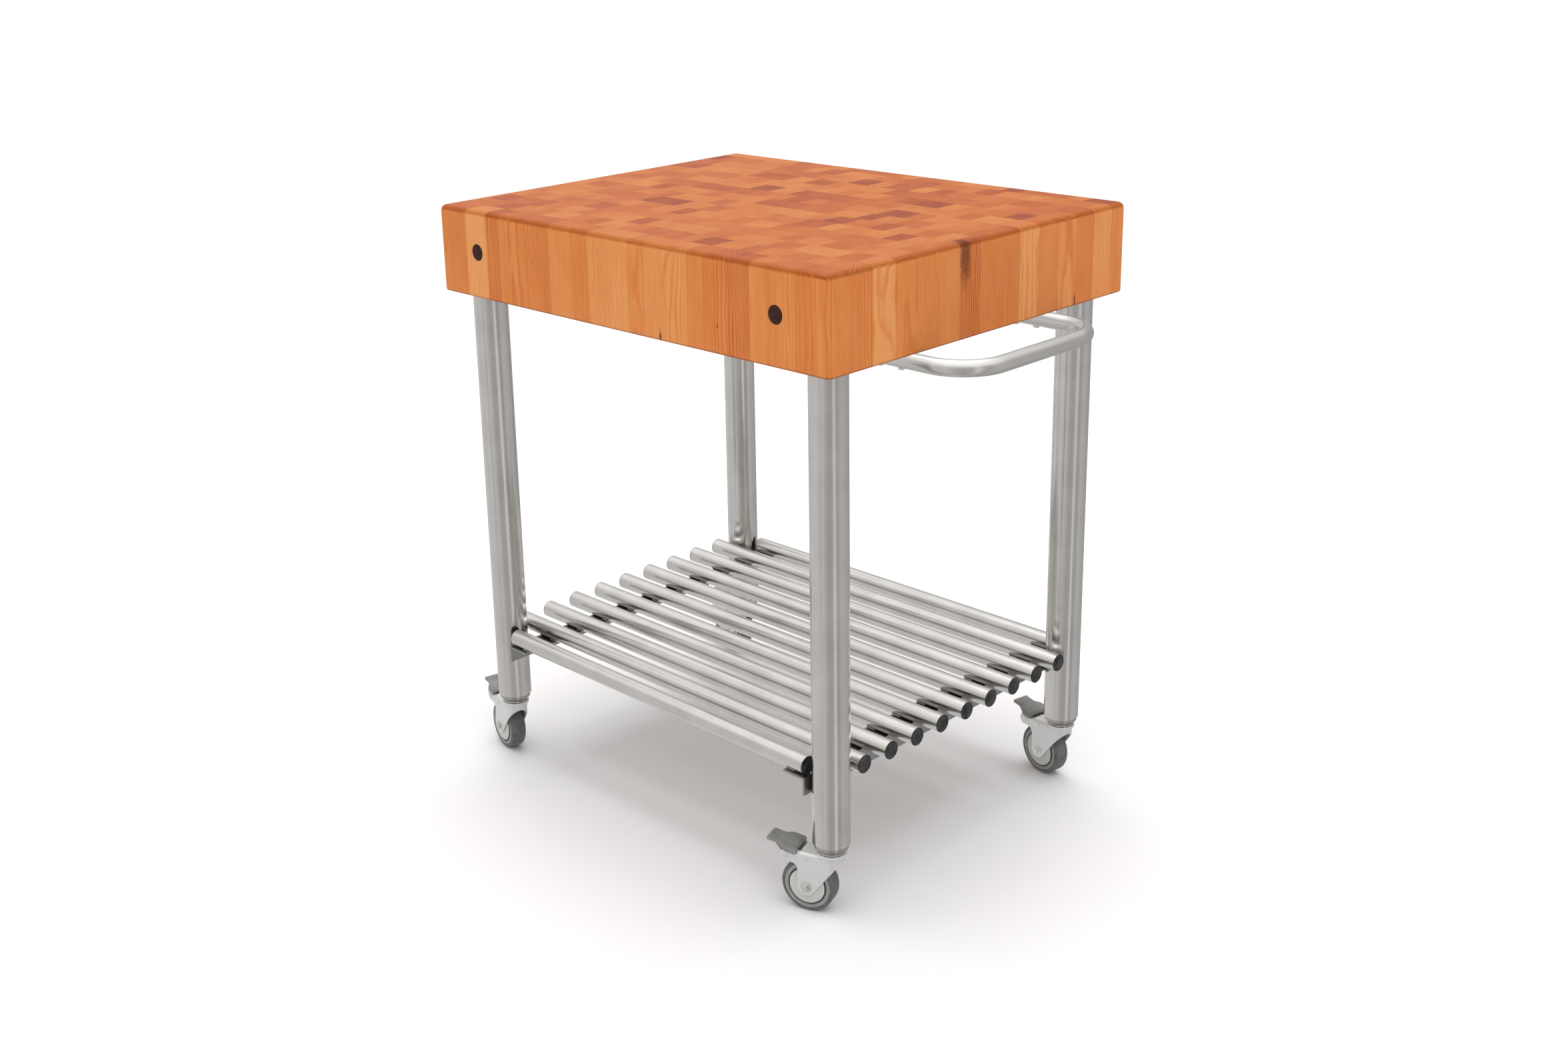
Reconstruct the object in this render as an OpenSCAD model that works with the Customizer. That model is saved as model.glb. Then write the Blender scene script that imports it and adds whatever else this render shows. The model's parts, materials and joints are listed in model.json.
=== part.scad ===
// Butcher block table on four swivel casters, with a tube shelf and a towel bar.
// Millimetres, +Z up. The floor is Z = 0, the front face looks along -Y and the
// towel bar is on the +X side. The origin is on the floor, under the middle of
// the whole table's length and width, so the block sits a little towards -X.

/* [Block] */
// Length of the wooden block
block_l = 762; // [600:1:1200]
// Width of the wooden block
block_w = 610; // [480:1:760]
// Thickness of the wooden block
block_h = 127; // [95:1:160]
// Height of the work surface above the floor
table_h = 880; // [800:1:1060]
// Radius of the four upright edges and of the top edges
edge_r = 9; // [3:0.5:16]
// Radius of the bottom edges
under_edge_r = 4; // [1:0.5:8]

/* [Tie rods] */
// Diameter of the threaded rods that pull the block together
rod_d = 10; // [6:0.5:14]
// Distance from the block's ends to each rod
rod_inset = 87; // [60:1:130]
// Depth of the rods below the work surface
rod_drop = 60; // [45:1:66]
// Diameter of the wooden plugs over the rod ends
plug_d = 24.4; // [20:0.2:32]
// Thickness of the wooden plugs
plug_t = 9; // [5:0.5:14]
// Depth of the hole that holds a plug, nut and washer
pocket_depth = 32; // [28:1:45]
// Thickness of the washers
washer_t = 2.5; // [1.5:0.5:4]
// Height of the nuts on the rods
rod_nut_h = 8; // [5:0.5:10]
// Width across flats of the nuts on the rods
rod_nut_af = 17; // [12:0.5:18]

/* [Legs] */
// Outside diameter of the leg tubes
leg_d = 50.8; // [42:0.1:64]
// Wall of the leg tubes
leg_wall = 1.5; // [1:0.1:3]
// Distance from the block's ends to the leg axes
leg_inset_x = 46; // [40:1:90]
// Distance from the block's long faces to the leg axes
leg_inset_y = 49; // [40:1:90]
// Diameter of the stud on top of each leg and of the caster stems
stud_d = 12; // [8:0.5:16]
// Length of the leg studs above the leg tops
stud_l = 26; // [16:1:40]
// Thickness of the disc welded into each leg top
leg_disc_t = 6; // [3:0.5:10]
// Outside diameter of the threaded inserts in the block
insert_d = 20; // [18:0.5:26]
// Length of the threaded inserts in the block
insert_l = 30; // [20:1:40]
// Length of the plugs inside the leg bottoms
leg_plug_l = 30; // [20:1:45]
// Thickness of the rim under each leg bottom
leg_rim_t = 6; // [2:0.5:8]
// How far that rim stands in from the leg's outside
leg_rim_step = 2; // [0.5:0.1:3]

/* [Shelf] */
// Height of the shelf tubes' axes above the leg bottoms
shelf_rise = 104; // [60:1:260]
// Outside diameter of the shelf tubes
tube_d = 25.4; // [16:0.1:32]
// Wall of the shelf tubes
tube_wall = 1.2; // [0.8:0.1:2.5]
// Gap between the outer long tubes and the legs
tube_leg_gap = 3.5; // [1:0.5:12]
// How far the long tubes pass the leg axes, without their caps
tube_over = 21; // [5:1:60]
// How far the two short tubes stand outside the leg axes
short_tube_out = 12; // [0:1:30]
// Gap between the short tubes' caps and the legs
short_tube_gap = 3; // [1:0.5:8]
// Width of the rails' flat upper flange
rail_w = 38; // [25:1:50]
// Height of the rails' upright flange
rail_h = 25; // [15:1:45]
// Thickness of the rails
rail_t = 3; // [2:0.5:5]
// How far the rails pass the short tubes' axes
rail_over = 12; // [5:1:30]
// Thickness of the tube caps' domes
cap_t = 2.5; // [1:0.5:5]
// Length of the tube caps' plugs inside the tubes
cap_plug_l = 12; // [6:1:20]

/* [Towel bar] */
// Outside diameter of the towel bar
bar_d = 22.2; // [16:0.1:28]
// Wall of the towel bar
bar_wall = 1.5; // [1:0.1:3]
// Distance between the axes of its two arms
bar_span = 282; // [200:1:360]
// Distance from the block's end to the bar's axis
bar_reach = 81; // [65:1:120]
// Bend radius of the bar's axis
bar_bend_r = 62; // [35:1:64]
// Length of the arms under the block
bar_arm_in = 81; // [70:1:100]
// Distance from the block's end to the first screw in each arm
bar_screw_inset = 27; // [15:1:35]
// Distance between the two screws in each arm
bar_screw_pitch = 34; // [20:1:34]
// Diameter of the towel bar screws
bar_screw_d = 5; // [3:0.5:6]
// Length of those screws inside the block
bar_screw_l = 28; // [15:1:45]
// Diameter of the heads of those screws
bar_head_d = 10; // [8:0.5:12]
// Height of the heads of those screws
bar_head_h = 3.5; // [2:0.5:5]

/* [Casters] */
// Height of a caster from the floor to the leg bottom
caster_h = 105; // [100:1:125]
// Diameter of the wheels
wheel_d = 75; // [62:1:78]
// Width of the wheels
wheel_w = 25; // [18:1:30]
// Distance from the swivel axis to the wheel's axle
trail = 30.5; // [25:0.5:34]
// Radius of the shoulders of the wheel's tread
shoulder_r = 4.5; // [2:0.5:5]
// Diameter of the wheel's plastic core
core_d = 56; // [44:1:58]
// Diameter of the cover discs on the wheel's sides
cover_d = 50; // [40:1:52]
// Thickness of the cover discs
cover_t = 1.8; // [1:0.1:2.5]
// Diameter of the sleeve that the wheel turns on
sleeve_d = 12; // [11:0.5:16]
// Diameter of the axle bolt
axle_d = 8; // [6:0.5:10]
// Height of the fork's top plate above the floor
fork_top = 87.5; // [80:0.5:90]
// Height of the fork's front wall
fork_nose_h = 8; // [5:0.5:14]
// Thickness of the fork's sheet metal
fork_t = 2.5; // [1.5:0.1:3]
// Outside radius of the bend between the fork's top plate and its cheeks
fork_bend_r = 4.5; // [3.5:0.5:6]
// Gap between the wheel and each fork cheek
cheek_gap = 2; // [1.5:0.1:4]
// Radius of the fork's cheek round the axle
boss_r = 12; // [10:0.5:14]
// Diameter of the swivel's two ball races
race_d = 41; // [40:0.5:46]
// Diameter of the balls in the swivel
ball_d = 6; // [4:0.5:7]
// Diameter of the circle that the balls run on
ball_circle_d = 30; // [27:0.5:31]
// Gap between the two ball races
race_gap = 1.6; // [1:0.1:3]
// Diameter of the head on the lower end of the caster stem
stem_head_d = 19; // [16:0.5:22]
// Height of that head
stem_head_h = 3; // [2:0.5:4]

/* [Brake] */
// Distance from the wheel's axle back to the pedal's pin
pin_back = 29; // [24:0.5:30]
// Height of the pedal's pin above the wheel's axle
pin_up = 41.5; // [34:0.5:46]
// Diameter of the pedal's pin
pin_d = 5; // [3:0.5:6]
// Radius of the fork's horn round the pedal's pin
horn_r = 8.5; // [7:0.5:9]
// Length of the pedal
pedal_l = 46; // [36:1:54]
// Width of the pedal over the fork
pedal_w = 39; // [36:1:44]
// Width of the pedal's tip
pedal_tip_w = 27; // [20:1:32]
// Thickness of the pedal's plate
pedal_t = 4; // [3:0.5:5]
// Upward tilt of the released pedal
pedal_tilt = 9; // [4:1:14]
// How far the pedal is pushed down to lock the wheel
pedal_travel = 20; // [12:1:22]
// Gap left between the locked brake and the wheel
brake_gap = 0.4; // [0.3:0.1:1]

/* [Rest position] */
// Direction of the front left caster's wheel from its swivel axis
turn_front_left = 167; // [150:1:210]
// Direction of the front right caster's wheel from its swivel axis
turn_front_right = 200; // [150:1:210]
// Direction of the back left caster's wheel from its swivel axis
turn_back_left = 176; // [150:1:210]
// Direction of the back right caster's wheel from its swivel axis
turn_back_right = 170; // [150:1:210]

/* [Fits] */
// Radial clearance of parts that turn on a shaft
run_fit = 0.05; // [0.02:0.01:0.1]
// Radial clearance of a thread or of a part held tight
hold_fit = 0.05; // [0.02:0.01:0.1]
// Radial clearance of parts pushed into a tube and welded or glued
slip_fit = 0.1; // [0.05:0.05:0.3]
// Gap between faces that move past each other
move_gap = 0.3; // [0.3:0.1:1]

/* [Hidden] */

$fn = 64;
eps = 0.5;

// Block and legs.
block_z = table_h - block_h;
leg_r = leg_d / 2;
leg_x = block_l / 2 - leg_inset_x;
leg_y = block_w / 2 - leg_inset_y;
leg_l = block_z - caster_h;
rod_x = block_l / 2 - rod_inset;
rod_z = table_h - rod_drop;
FL = 0;
FR = 1;
BL = 2;
BR = 3;
leg_at = [[-leg_x, -leg_y], [leg_x, -leg_y], [-leg_x, leg_y], [leg_x, leg_y]];
turns = [turn_front_left, turn_front_right, turn_back_left, turn_back_right];

// Shelf: two short tubes between the legs of the front and of the back, and the
// long tubes spread evenly between them.
long_tubes = 9;
tube_r = tube_d / 2;
shelf_z = caster_h + shelf_rise;
long_y = leg_y - leg_r - tube_leg_gap - tube_r;
short_y = leg_y + short_tube_out;
tube_ys = concat([-short_y],
    [for (i = [0:long_tubes - 1]) -long_y + 2 * long_y * i / (long_tubes - 1)],
    [short_y]);
leg_side_x = leg_x - leg_r;
short_leg_x = leg_x - sqrt(leg_r * leg_r - pow(min(short_tube_out, leg_r), 2));
short_half_l = min(leg_side_x, short_leg_x) - short_tube_gap - cap_t;
long_half_l = leg_x + tube_over;
rail_top = shelf_z - tube_r;
rail_half_l = short_y + rail_over;

// Towel bar.
bar_r = bar_d / 2;
bar_x = block_l / 2 + bar_reach;
bar_z = block_z - bar_r - slip_fit;
bar_end_x = block_l / 2 - bar_arm_in;
bar_screw_xs = [for (i = [0, 1]) block_l / 2 - bar_screw_inset - i * bar_screw_pitch];

// Caster, in its own frame: the swivel axis is Z, the wheel trails along +X.
wheel_r = wheel_d / 2;
cheek_in = wheel_w / 2 + cheek_gap;
cheek_out = cheek_in + fork_t;
pin_x = trail + pin_back;
pin_z = wheel_r + pin_up;
fork_under = fork_top - fork_t;
fork_front_z = fork_top - fork_nose_h;
top_plate_end = trail + 9;
race_top = caster_h - leg_rim_t;
ball_z = fork_top + (race_top - fork_top) * 0.42;
sleeve_half_l = cheek_in;
core_half_w = wheel_w / 2 - 1.2;
cover_out = wheel_w / 2 + cheek_gap - move_gap - 0.4;
pedal_front = pin_x - 16;
pedal_under = max(pin_z + horn_r, fork_top + (pin_x - pedal_front) * tan(pedal_tilt))
    + 2 * move_gap;
pedal_deep = sqrt(pow(pin_back, 2) + pow(pin_up, 2)) - wheel_r;
pin_to_axle = atan2(-pin_up, -pin_back);

// The whole table is centred on the origin, with the towel bar and the brake
// pedals counted in its length.
reach_right = bar_x + bar_r;
caster_tail = pedal_front + pedal_l * cos(pedal_tilt);
reach_left = leg_x + caster_tail * max([for (t = [FL, BL]) -cos(turns[t])]);
mid_x = (reach_right - max(reach_left, block_l / 2)) / 2;

// The point where a line from p touches the lower left of a circle.
function tangent(p, c, r) =
    let (d = c - p, l = norm(d), a = atan2(d[1], d[0]) - asin(r / l))
    p + sqrt(l * l - r * r) * [cos(a), sin(a)];

module table() {
    translate([-mid_x, 0, 0]) children();
}

module at_leg(i) {
    table() translate([leg_at[i][0], leg_at[i][1], 0]) children();
}

module at_legs() {
    for (i = [FL:BR]) at_leg(i) children();
}

module at_caster(i) {
    at_leg(i) rotate([0, 0, turns[i]]) children();
}

module at_tube(i) {
    table() translate([0, tube_ys[i], shelf_z]) children();
}

module at_rod_ends() {
    table() for (x = [-rod_x, rod_x], s = [-1, 1])
        translate([x, s * block_w / 2, rod_z]) rotate([-s * 90, 0, 0]) children();
}

module at_bar_screws() {
    table() for (x = bar_screw_xs, s = [-1, 1])
        translate([x, s * bar_span / 2, bar_z]) children();
}

module rod(r, z0, z1) {
    translate([0, 0, z0]) cylinder(r = r, h = z1 - z0);
}

module ring(r_out, r_in, z0, z1) {
    difference() {
        rod(r_out, z0, z1);
        rod(r_in, z0 - eps, z1 + eps);
    }
}

module hex(across, z0, z1) {
    translate([0, 0, z0]) cylinder(r = across / sqrt(3), h = z1 - z0, $fn = 6);
}

// A rectangle whose upper corners have radius r_top and lower corners r_under.
module soft_rectangle(w, h, r_top, r_under) {
    translate([-w / 2 + r_under, 0]) square([w - 2 * r_under, h - r_top]);
    translate([-w / 2, r_under]) square([w, h - r_top - r_under]);
    translate([-w / 2 + r_top, h - r_top - eps]) square([w - 2 * r_top, r_top + eps]);
    for (s = [-1, 1]) {
        translate([s * (w / 2 - r_top), h - r_top]) circle(r = r_top);
        translate([s * (w / 2 - r_under), r_under]) circle(r = r_under);
    }
}

module block_blank() {
    intersection() {
        linear_extrude(block_h)
            translate([0, -block_w / 2])
            soft_rectangle(block_l, block_w, edge_r, edge_r);
        translate([0, block_w / 2 + eps, 0]) rotate([90, 0, 0])
            linear_extrude(block_w + 2 * eps)
            soft_rectangle(block_l, block_h, edge_r, under_edge_r);
        translate([-block_l / 2 - eps, 0, 0]) rotate([90, 0, 90])
            linear_extrude(block_l + 2 * eps)
            soft_rectangle(block_w, block_h, edge_r, under_edge_r);
    }
}

module butcher_block() {
    color("peru") difference() {
        table() translate([0, 0, block_z]) block_blank();
        table() for (x = [-rod_x, rod_x])
            translate([x, block_w / 2 + eps, rod_z]) rotate([90, 0, 0])
            rod(rod_d / 2 + 0.5, 0, block_w + 2 * eps);
        at_rod_ends() rod(plug_d / 2, -pocket_depth, eps);
        at_legs() rod(insert_d / 2 + hold_fit, block_z - eps, block_z + insert_l + 1);
        at_bar_screws() rod(bar_screw_d / 2 + hold_fit, 0, bar_r + bar_screw_l + 2);
    }
}

module tie_rods() {
    rod_half_l = block_w / 2 - pocket_depth + washer_t + rod_nut_h + 3;
    color("silver") table() for (x = [-rod_x, rod_x])
        translate([x, 0, rod_z]) rotate([90, 0, 0])
        rod(rod_d / 2, -rod_half_l, rod_half_l);
}

module tie_rod_washers() {
    color("silver") at_rod_ends()
        ring(plug_d / 2 - 0.7, rod_d / 2 + 0.4, -pocket_depth, -pocket_depth + washer_t);
}

module tie_rod_nuts() {
    nut_z = -pocket_depth + washer_t;
    color("silver") at_rod_ends() difference() {
        hex(rod_nut_af, nut_z, nut_z + rod_nut_h);
        rod(rod_d / 2 + hold_fit, nut_z - eps, nut_z + rod_nut_h + eps);
    }
}

module rod_hole_plugs() {
    color("saddlebrown") at_rod_ends() rod(plug_d / 2 - hold_fit, -plug_t, 0);
}

module leg_thread_inserts() {
    color("goldenrod") at_legs()
        ring(insert_d / 2, stud_d / 2 + hold_fit, block_z, block_z + insert_l);
}

module leg(i) {
    color("lightgray") at_leg(i) ring(leg_r, leg_r - leg_wall, caster_h, block_z);
}

module leg_top_studs() {
    color("silver") at_legs() {
        rod(leg_r - leg_wall - slip_fit, block_z - leg_disc_t, block_z);
        rod(stud_d / 2, block_z - leg_disc_t - 8, block_z + stud_l);
    }
}

module leg_bottom_plugs() {
    color("gray") at_legs() difference() {
        union() {
            rod(leg_r - leg_wall - slip_fit, caster_h - eps, caster_h + leg_plug_l);
            rod(leg_r - leg_rim_step, race_top, caster_h);
        }
        rod(stud_d / 2 + hold_fit, race_top - eps, caster_h + leg_plug_l + eps);
    }
}

// An angle rail along Y: the flat flange points inwards, away from the leg.
module shelf_rail(side) {
    color("lightgray") table() translate([side * (leg_side_x - slip_fit), 0, rail_top])
        mirror([side < 0 ? 1 : 0, 0, 0]) {
        translate([-rail_w, -rail_half_l, -rail_t]) cube([rail_w, 2 * rail_half_l, rail_t]);
        translate([-rail_t, -rail_half_l, -rail_h]) cube([rail_t, 2 * rail_half_l, rail_h]);
    }
}

function tube_half_l(i) = i == 0 || i == long_tubes + 1 ? short_half_l : long_half_l;

module shelf_tube(i) {
    color("lightgray") at_tube(i) rotate([0, 90, 0])
        ring(tube_r, tube_r - tube_wall, -tube_half_l(i), tube_half_l(i));
}

// A cap is a flat cone round its rim and a dome in the middle, with a plug
// inside the tube.
module tube_cap() {
    rotate_extrude() {
        square([tube_r, cap_t * 0.4]);
        polygon([[0, 0], [tube_r, 0], [tube_r, cap_t * 0.4], [tube_r * 0.72, cap_t],
            [0, cap_t]]);
        translate([0, -cap_plug_l])
            square([tube_r - tube_wall - slip_fit, cap_plug_l + cap_t * 0.2]);
    }
}

module shelf_tube_caps() {
    color("black") for (i = [0:long_tubes + 1], s = [-1, 1])
        at_tube(i) translate([s * tube_half_l(i), 0, 0]) rotate([0, s * 90, 0]) tube_cap();
}

// The bar's path as a solid rod of radius r: two arms, two bends and a grip.
module bent_rod(r, extra) {
    straight = bar_span / 2 - bar_bend_r;
    arm_x = bar_x - bar_bend_r;
    for (s = [-1, 1]) {
        translate([bar_end_x - extra, s * bar_span / 2, 0]) rotate([0, 90, 0])
            cylinder(r = r, h = arm_x - bar_end_x + extra);
        translate([arm_x, s * straight, 0]) mirror([0, s < 0 ? 1 : 0, 0])
            rotate_extrude(angle = 90) translate([bar_bend_r, 0]) circle(r = r);
    }
    translate([bar_x, straight, 0]) rotate([90, 0, 0]) cylinder(r = r, h = 2 * straight);
}

module towel_bar() {
    color("lightgray") difference() {
        table() translate([0, 0, bar_z]) bent_rod(bar_r, 0);
        table() translate([0, 0, bar_z]) bent_rod(bar_r - bar_wall, eps);
        at_bar_screws() rod(bar_screw_d / 2 + slip_fit, -bar_d, bar_d);
    }
}

module towel_bar_screws() {
    head_top = -bar_r - slip_fit;
    color("silver") at_bar_screws() {
        rod(bar_screw_d / 2, head_top - eps, bar_r + bar_screw_l);
        rod(bar_head_d / 2, head_top - bar_head_h, head_top);
    }
}

module caster_stems() {
    head_top = fork_under - move_gap;
    color("dimgray") at_legs() {
        rod(stud_d / 2, head_top - eps, caster_h + leg_plug_l - 5);
        rod(stem_head_d / 2, head_top - stem_head_h, head_top);
    }
}

// The groove that the balls run in, as a solid ring to cut away.
module ball_groove() {
    translate([0, 0, ball_z]) rotate_extrude()
        translate([ball_circle_d / 2, 0]) circle(r = ball_d / 2 + move_gap);
}

module swivel_upper_races() {
    color("lightgray") at_legs() difference() {
        union() {
            rod(race_d / 2, ball_z + race_gap / 2 + 2, race_top);
            rod(race_d / 2 - 0.8, ball_z + race_gap / 2, race_top);
        }
        rod(stud_d / 2 + hold_fit, fork_top, race_top + eps);
        ball_groove();
    }
}

module swivel_balls() {
    balls = 12;
    color("silver") at_legs() for (i = [0:balls - 1])
        rotate([0, 0, i * 360 / balls]) translate([ball_circle_d / 2, 0, ball_z])
        sphere(r = ball_d / 2);
}

// Side view of the fork: X is the trail direction and Y is the height.
module fork_side() {
    axle = [trail, wheel_r];
    front = [-cheek_out, fork_front_z];
    foot = tangent(front, axle, boss_r);
    back_x = trail + boss_r;
    horn_under = pin_z - horn_r;
    fillet = 9;
    difference() {
        union() {
            polygon([[-cheek_out, fork_top], front, foot, axle, [back_x, wheel_r],
                [back_x, horn_under - fillet], [back_x + fillet, horn_under],
                [pin_x, horn_under], [pin_x, pin_z + horn_r], [top_plate_end, fork_top]]);
            translate(axle) circle(r = boss_r);
            translate([pin_x, pin_z]) circle(r = horn_r);
        }
        translate([back_x + fillet, horn_under - fillet]) circle(r = fillet);
    }
}

// Half section of a channel: half width w, height h, upper corner of radius r.
module channel_half(w, h, r) {
    square([w - r, h]);
    square([w, h - r]);
    translate([w - r, h - r]) circle(r = r);
}

// A solid channel with a round front, which runs back along +X.
module channel(w, h, r, back) {
    rotate_extrude() channel_half(w, h, r);
    for (s = [0, 1]) mirror([0, s, 0]) rotate([90, 0, 90])
        linear_extrude(back) channel_half(w, h, r);
}

module fork() {
    back = pin_x + horn_r + eps;
    color("gainsboro") difference() {
        union() {
            intersection() {
                translate([0, cheek_out + eps, 0]) rotate([90, 0, 0])
                    linear_extrude(2 * (cheek_out + eps)) fork_side();
                channel(cheek_out, fork_top, fork_bend_r, back);
            }
            rod(race_d / 2 - 2, fork_under, fork_top + 2);
            rod(race_d / 2, fork_top, ball_z - race_gap / 2);
        }
        translate([0, 0, -eps])
            channel(cheek_in, fork_under + eps, max(fork_bend_r - fork_t, 0.5), back + eps);
        translate([top_plate_end, -cheek_in, fork_under - eps])
            cube([back, 2 * cheek_in, fork_t + 3 * eps]);
        rod(stud_d / 2 + run_fit, fork_under - eps, fork_top + 20);
        ball_groove();
        translate([trail, 0, wheel_r]) across(axle_d / 2 + hold_fit, cheek_out + eps);
        translate([pin_x, 0, pin_z]) across(pin_d / 2 + hold_fit, cheek_out + eps);
        translate([trail, 0, pin_z]) across(pin_d / 2 + hold_fit, cheek_out + eps);
    }
}

// A rod along Y, as long on both sides of the middle.
module across(r, half_l) {
    rotate([90, 0, 0]) rod(r, -half_l, half_l);
}

module across_ring(r_out, r_in, half_l) {
    rotate([90, 0, 0]) ring(r_out, r_in, -half_l, half_l);
}

// The axle bolt, its flanged nut and the sleeve that the wheel turns on.
module axle() {
    flange_r = 8;
    color("silver") translate([trail, 0, wheel_r]) {
        across(axle_d / 2, cheek_out + 3);
        rotate([90, 0, 0]) rod(flange_r, cheek_out, cheek_out + 1.5);
        rotate([90, 0, 0]) hex(axle_d * 1.3, cheek_out + 1, cheek_out + 5);
        rotate([-90, 0, 0]) difference() {
            union() {
                rod(flange_r, cheek_out, cheek_out + 1.5);
                hex(axle_d * 1.5, cheek_out + 1, cheek_out + 6);
            }
            rod(axle_d / 2 + hold_fit, cheek_out - eps, cheek_out + 6 + eps);
        }
        across_ring(sleeve_d / 2, axle_d / 2 + hold_fit, sleeve_half_l);
    }
}

// The pedal's pin with its two heads, and a short rivet in each cheek.
module rivets() {
    head_r = pin_d / 2 + 1.7;
    color("silver") {
        translate([pin_x, 0, pin_z]) {
            across(pin_d / 2, cheek_out + 0.5);
            for (s = [-90, 90]) rotate([s, 0, 0]) rod(head_r, cheek_out, cheek_out + 1.5);
        }
        translate([trail, 0, pin_z]) for (s = [-90, 90]) rotate([s, 0, 0]) {
            rod(pin_d / 2, cheek_in, cheek_out + 0.5);
            rod(head_r, cheek_out, cheek_out + 1.5);
        }
    }
}

// Outline of the pedal's plate from above, from its front edge at X = 0.
module pedal_plan() {
    waist = pedal_tip_w * 0.9;
    polygon([[0, -pedal_w / 2], [pedal_l * 0.42, -pedal_w / 2],
        [pedal_l * 0.62, -waist / 2], [pedal_l - 3, -pedal_tip_w / 2],
        [pedal_l, -pedal_tip_w / 2 + 3], [pedal_l, pedal_tip_w / 2 - 3],
        [pedal_l - 3, pedal_tip_w / 2], [pedal_l * 0.62, waist / 2],
        [pedal_l * 0.42, pedal_w / 2], [0, pedal_w / 2]]);
}

// Side view of the pedal's arm: an eye round the pin, a cam towards the wheel
// and a web up to the plate.
module pedal_arm() {
    eye_r = pin_d / 2 + 2.2;
    cam_l = pedal_deep - brake_gap;
    cam_r = 2.5;
    cam_a = pin_to_axle + pedal_travel;
    plate_end = pedal_front + pedal_l - 12;
    translate([pin_x, pin_z]) {
        circle(r = eye_r);
        rotate([0, 0, cam_a]) translate([cam_l - cam_r, 0]) circle(r = cam_r);
        rotate([0, 0, cam_a]) translate([0, -cam_r]) square([cam_l - cam_r, 2 * cam_r]);
    }
    polygon([[pin_x - eye_r, pin_z], [pin_x - eye_r, pedal_under + 2],
        [plate_end, pedal_under + 2 + (plate_end - pin_x) * tan(pedal_tilt)],
        [pin_x + eye_r, pin_z]]);
}

module pedal() {
    ribs = 3;
    arm_w = cheek_in - 1;
    color("dimgray") difference() {
        union() {
            translate([pin_x, 0, pedal_under]) rotate([0, -pedal_tilt, 0]) {
                translate([pedal_front - pin_x, 0, 0]) linear_extrude(pedal_t) pedal_plan();
                for (i = [0:ribs - 1])
                    translate([pedal_front - pin_x + pedal_l - 5 - 4 * i,
                        -pedal_tip_w / 2 + 3, pedal_t - eps])
                    cube([1.5, pedal_tip_w - 6, 0.8 + eps]);
            }
            translate([0, arm_w, 0]) rotate([90, 0, 0])
                linear_extrude(2 * arm_w) pedal_arm();
        }
        translate([pin_x, 0, pin_z]) across(pin_d / 2 + run_fit, cheek_out);
    }
}

// Half section of the tread: a crowned running face with round shoulders.
module tread_section() {
    inner = core_d / 2 + hold_fit;
    shoulder = min(shoulder_r, (wheel_r - inner) / 2);
    half_w = wheel_w / 2;
    translate([inner, -half_w]) square([wheel_r - shoulder - inner, wheel_w]);
    translate([inner, -half_w + shoulder])
        square([wheel_r - inner, wheel_w - 2 * shoulder]);
    for (s = [-1, 1])
        translate([wheel_r - shoulder, s * (half_w - shoulder)]) circle(r = shoulder);
}

module turned_on_axle() {
    translate([trail, 0, wheel_r]) rotate([90, 0, 0]) rotate_extrude() children();
}

module tread() {
    color("gray") turned_on_axle() tread_section();
}

// The wheel's core: a rim, a web and a nave bored for the sleeve.
module core() {
    bore_r = sleeve_d / 2 + run_fit;
    nave_r = sleeve_d / 2 + 5;
    rim_r = core_d / 2 - 4;
    color("darkgray") turned_on_axle() {
        translate([rim_r, -core_half_w]) square([4, 2 * core_half_w]);
        translate([nave_r - eps, -2]) square([rim_r - nave_r + 2 * eps, 4]);
        translate([bore_r, -core_half_w]) square([nave_r - bore_r, 2 * core_half_w]);
    }
}

// The two cover discs, pressed into the core's open sides.
module covers() {
    bore_r = sleeve_d / 2 + move_gap + 1;
    color("whitesmoke") turned_on_axle() for (s = [0, 1]) mirror([0, s])
        translate([bore_r, cover_out - cover_t])
        square([cover_d / 2 - bore_r, cover_t]);
}

butcher_block();
tie_rods();
tie_rod_washers();
tie_rod_nuts();
rod_hole_plugs();
leg_thread_inserts();
leg(FL);  // leg_front_left
leg(FR);  // leg_front_right
leg(BL);  // leg_back_left
leg(BR);  // leg_back_right
leg_top_studs();
leg_bottom_plugs();
shelf_rail(-1);  // shelf_rail_left
shelf_rail(1);  // shelf_rail_right
shelf_tube(0);  // shelf_tube_01
shelf_tube(1);  // shelf_tube_02
shelf_tube(2);  // shelf_tube_03
shelf_tube(3);  // shelf_tube_04
shelf_tube(4);  // shelf_tube_05
shelf_tube(5);  // shelf_tube_06
shelf_tube(6);  // shelf_tube_07
shelf_tube(7);  // shelf_tube_08
shelf_tube(8);  // shelf_tube_09
shelf_tube(9);  // shelf_tube_10
shelf_tube(10);  // shelf_tube_11
shelf_tube_caps();
towel_bar();
towel_bar_screws();
caster_stems();
swivel_upper_races();
swivel_balls();
at_caster(FL) fork();  // fork_front_left
at_caster(FL) axle();  // axle_front_left
at_caster(FL) rivets();  // rivets_front_left
at_caster(FL) pedal();  // pedal_front_left
at_caster(FL) tread();  // tread_front_left
at_caster(FL) core();  // core_front_left
at_caster(FL) covers();  // covers_front_left
at_caster(FR) fork();  // fork_front_right
at_caster(FR) axle();  // axle_front_right
at_caster(FR) rivets();  // rivets_front_right
at_caster(FR) pedal();  // pedal_front_right
at_caster(FR) tread();  // tread_front_right
at_caster(FR) core();  // core_front_right
at_caster(FR) covers();  // covers_front_right
at_caster(BL) fork();  // fork_back_left
at_caster(BL) axle();  // axle_back_left
at_caster(BL) rivets();  // rivets_back_left
at_caster(BL) pedal();  // pedal_back_left
at_caster(BL) tread();  // tread_back_left
at_caster(BL) core();  // core_back_left
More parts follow.
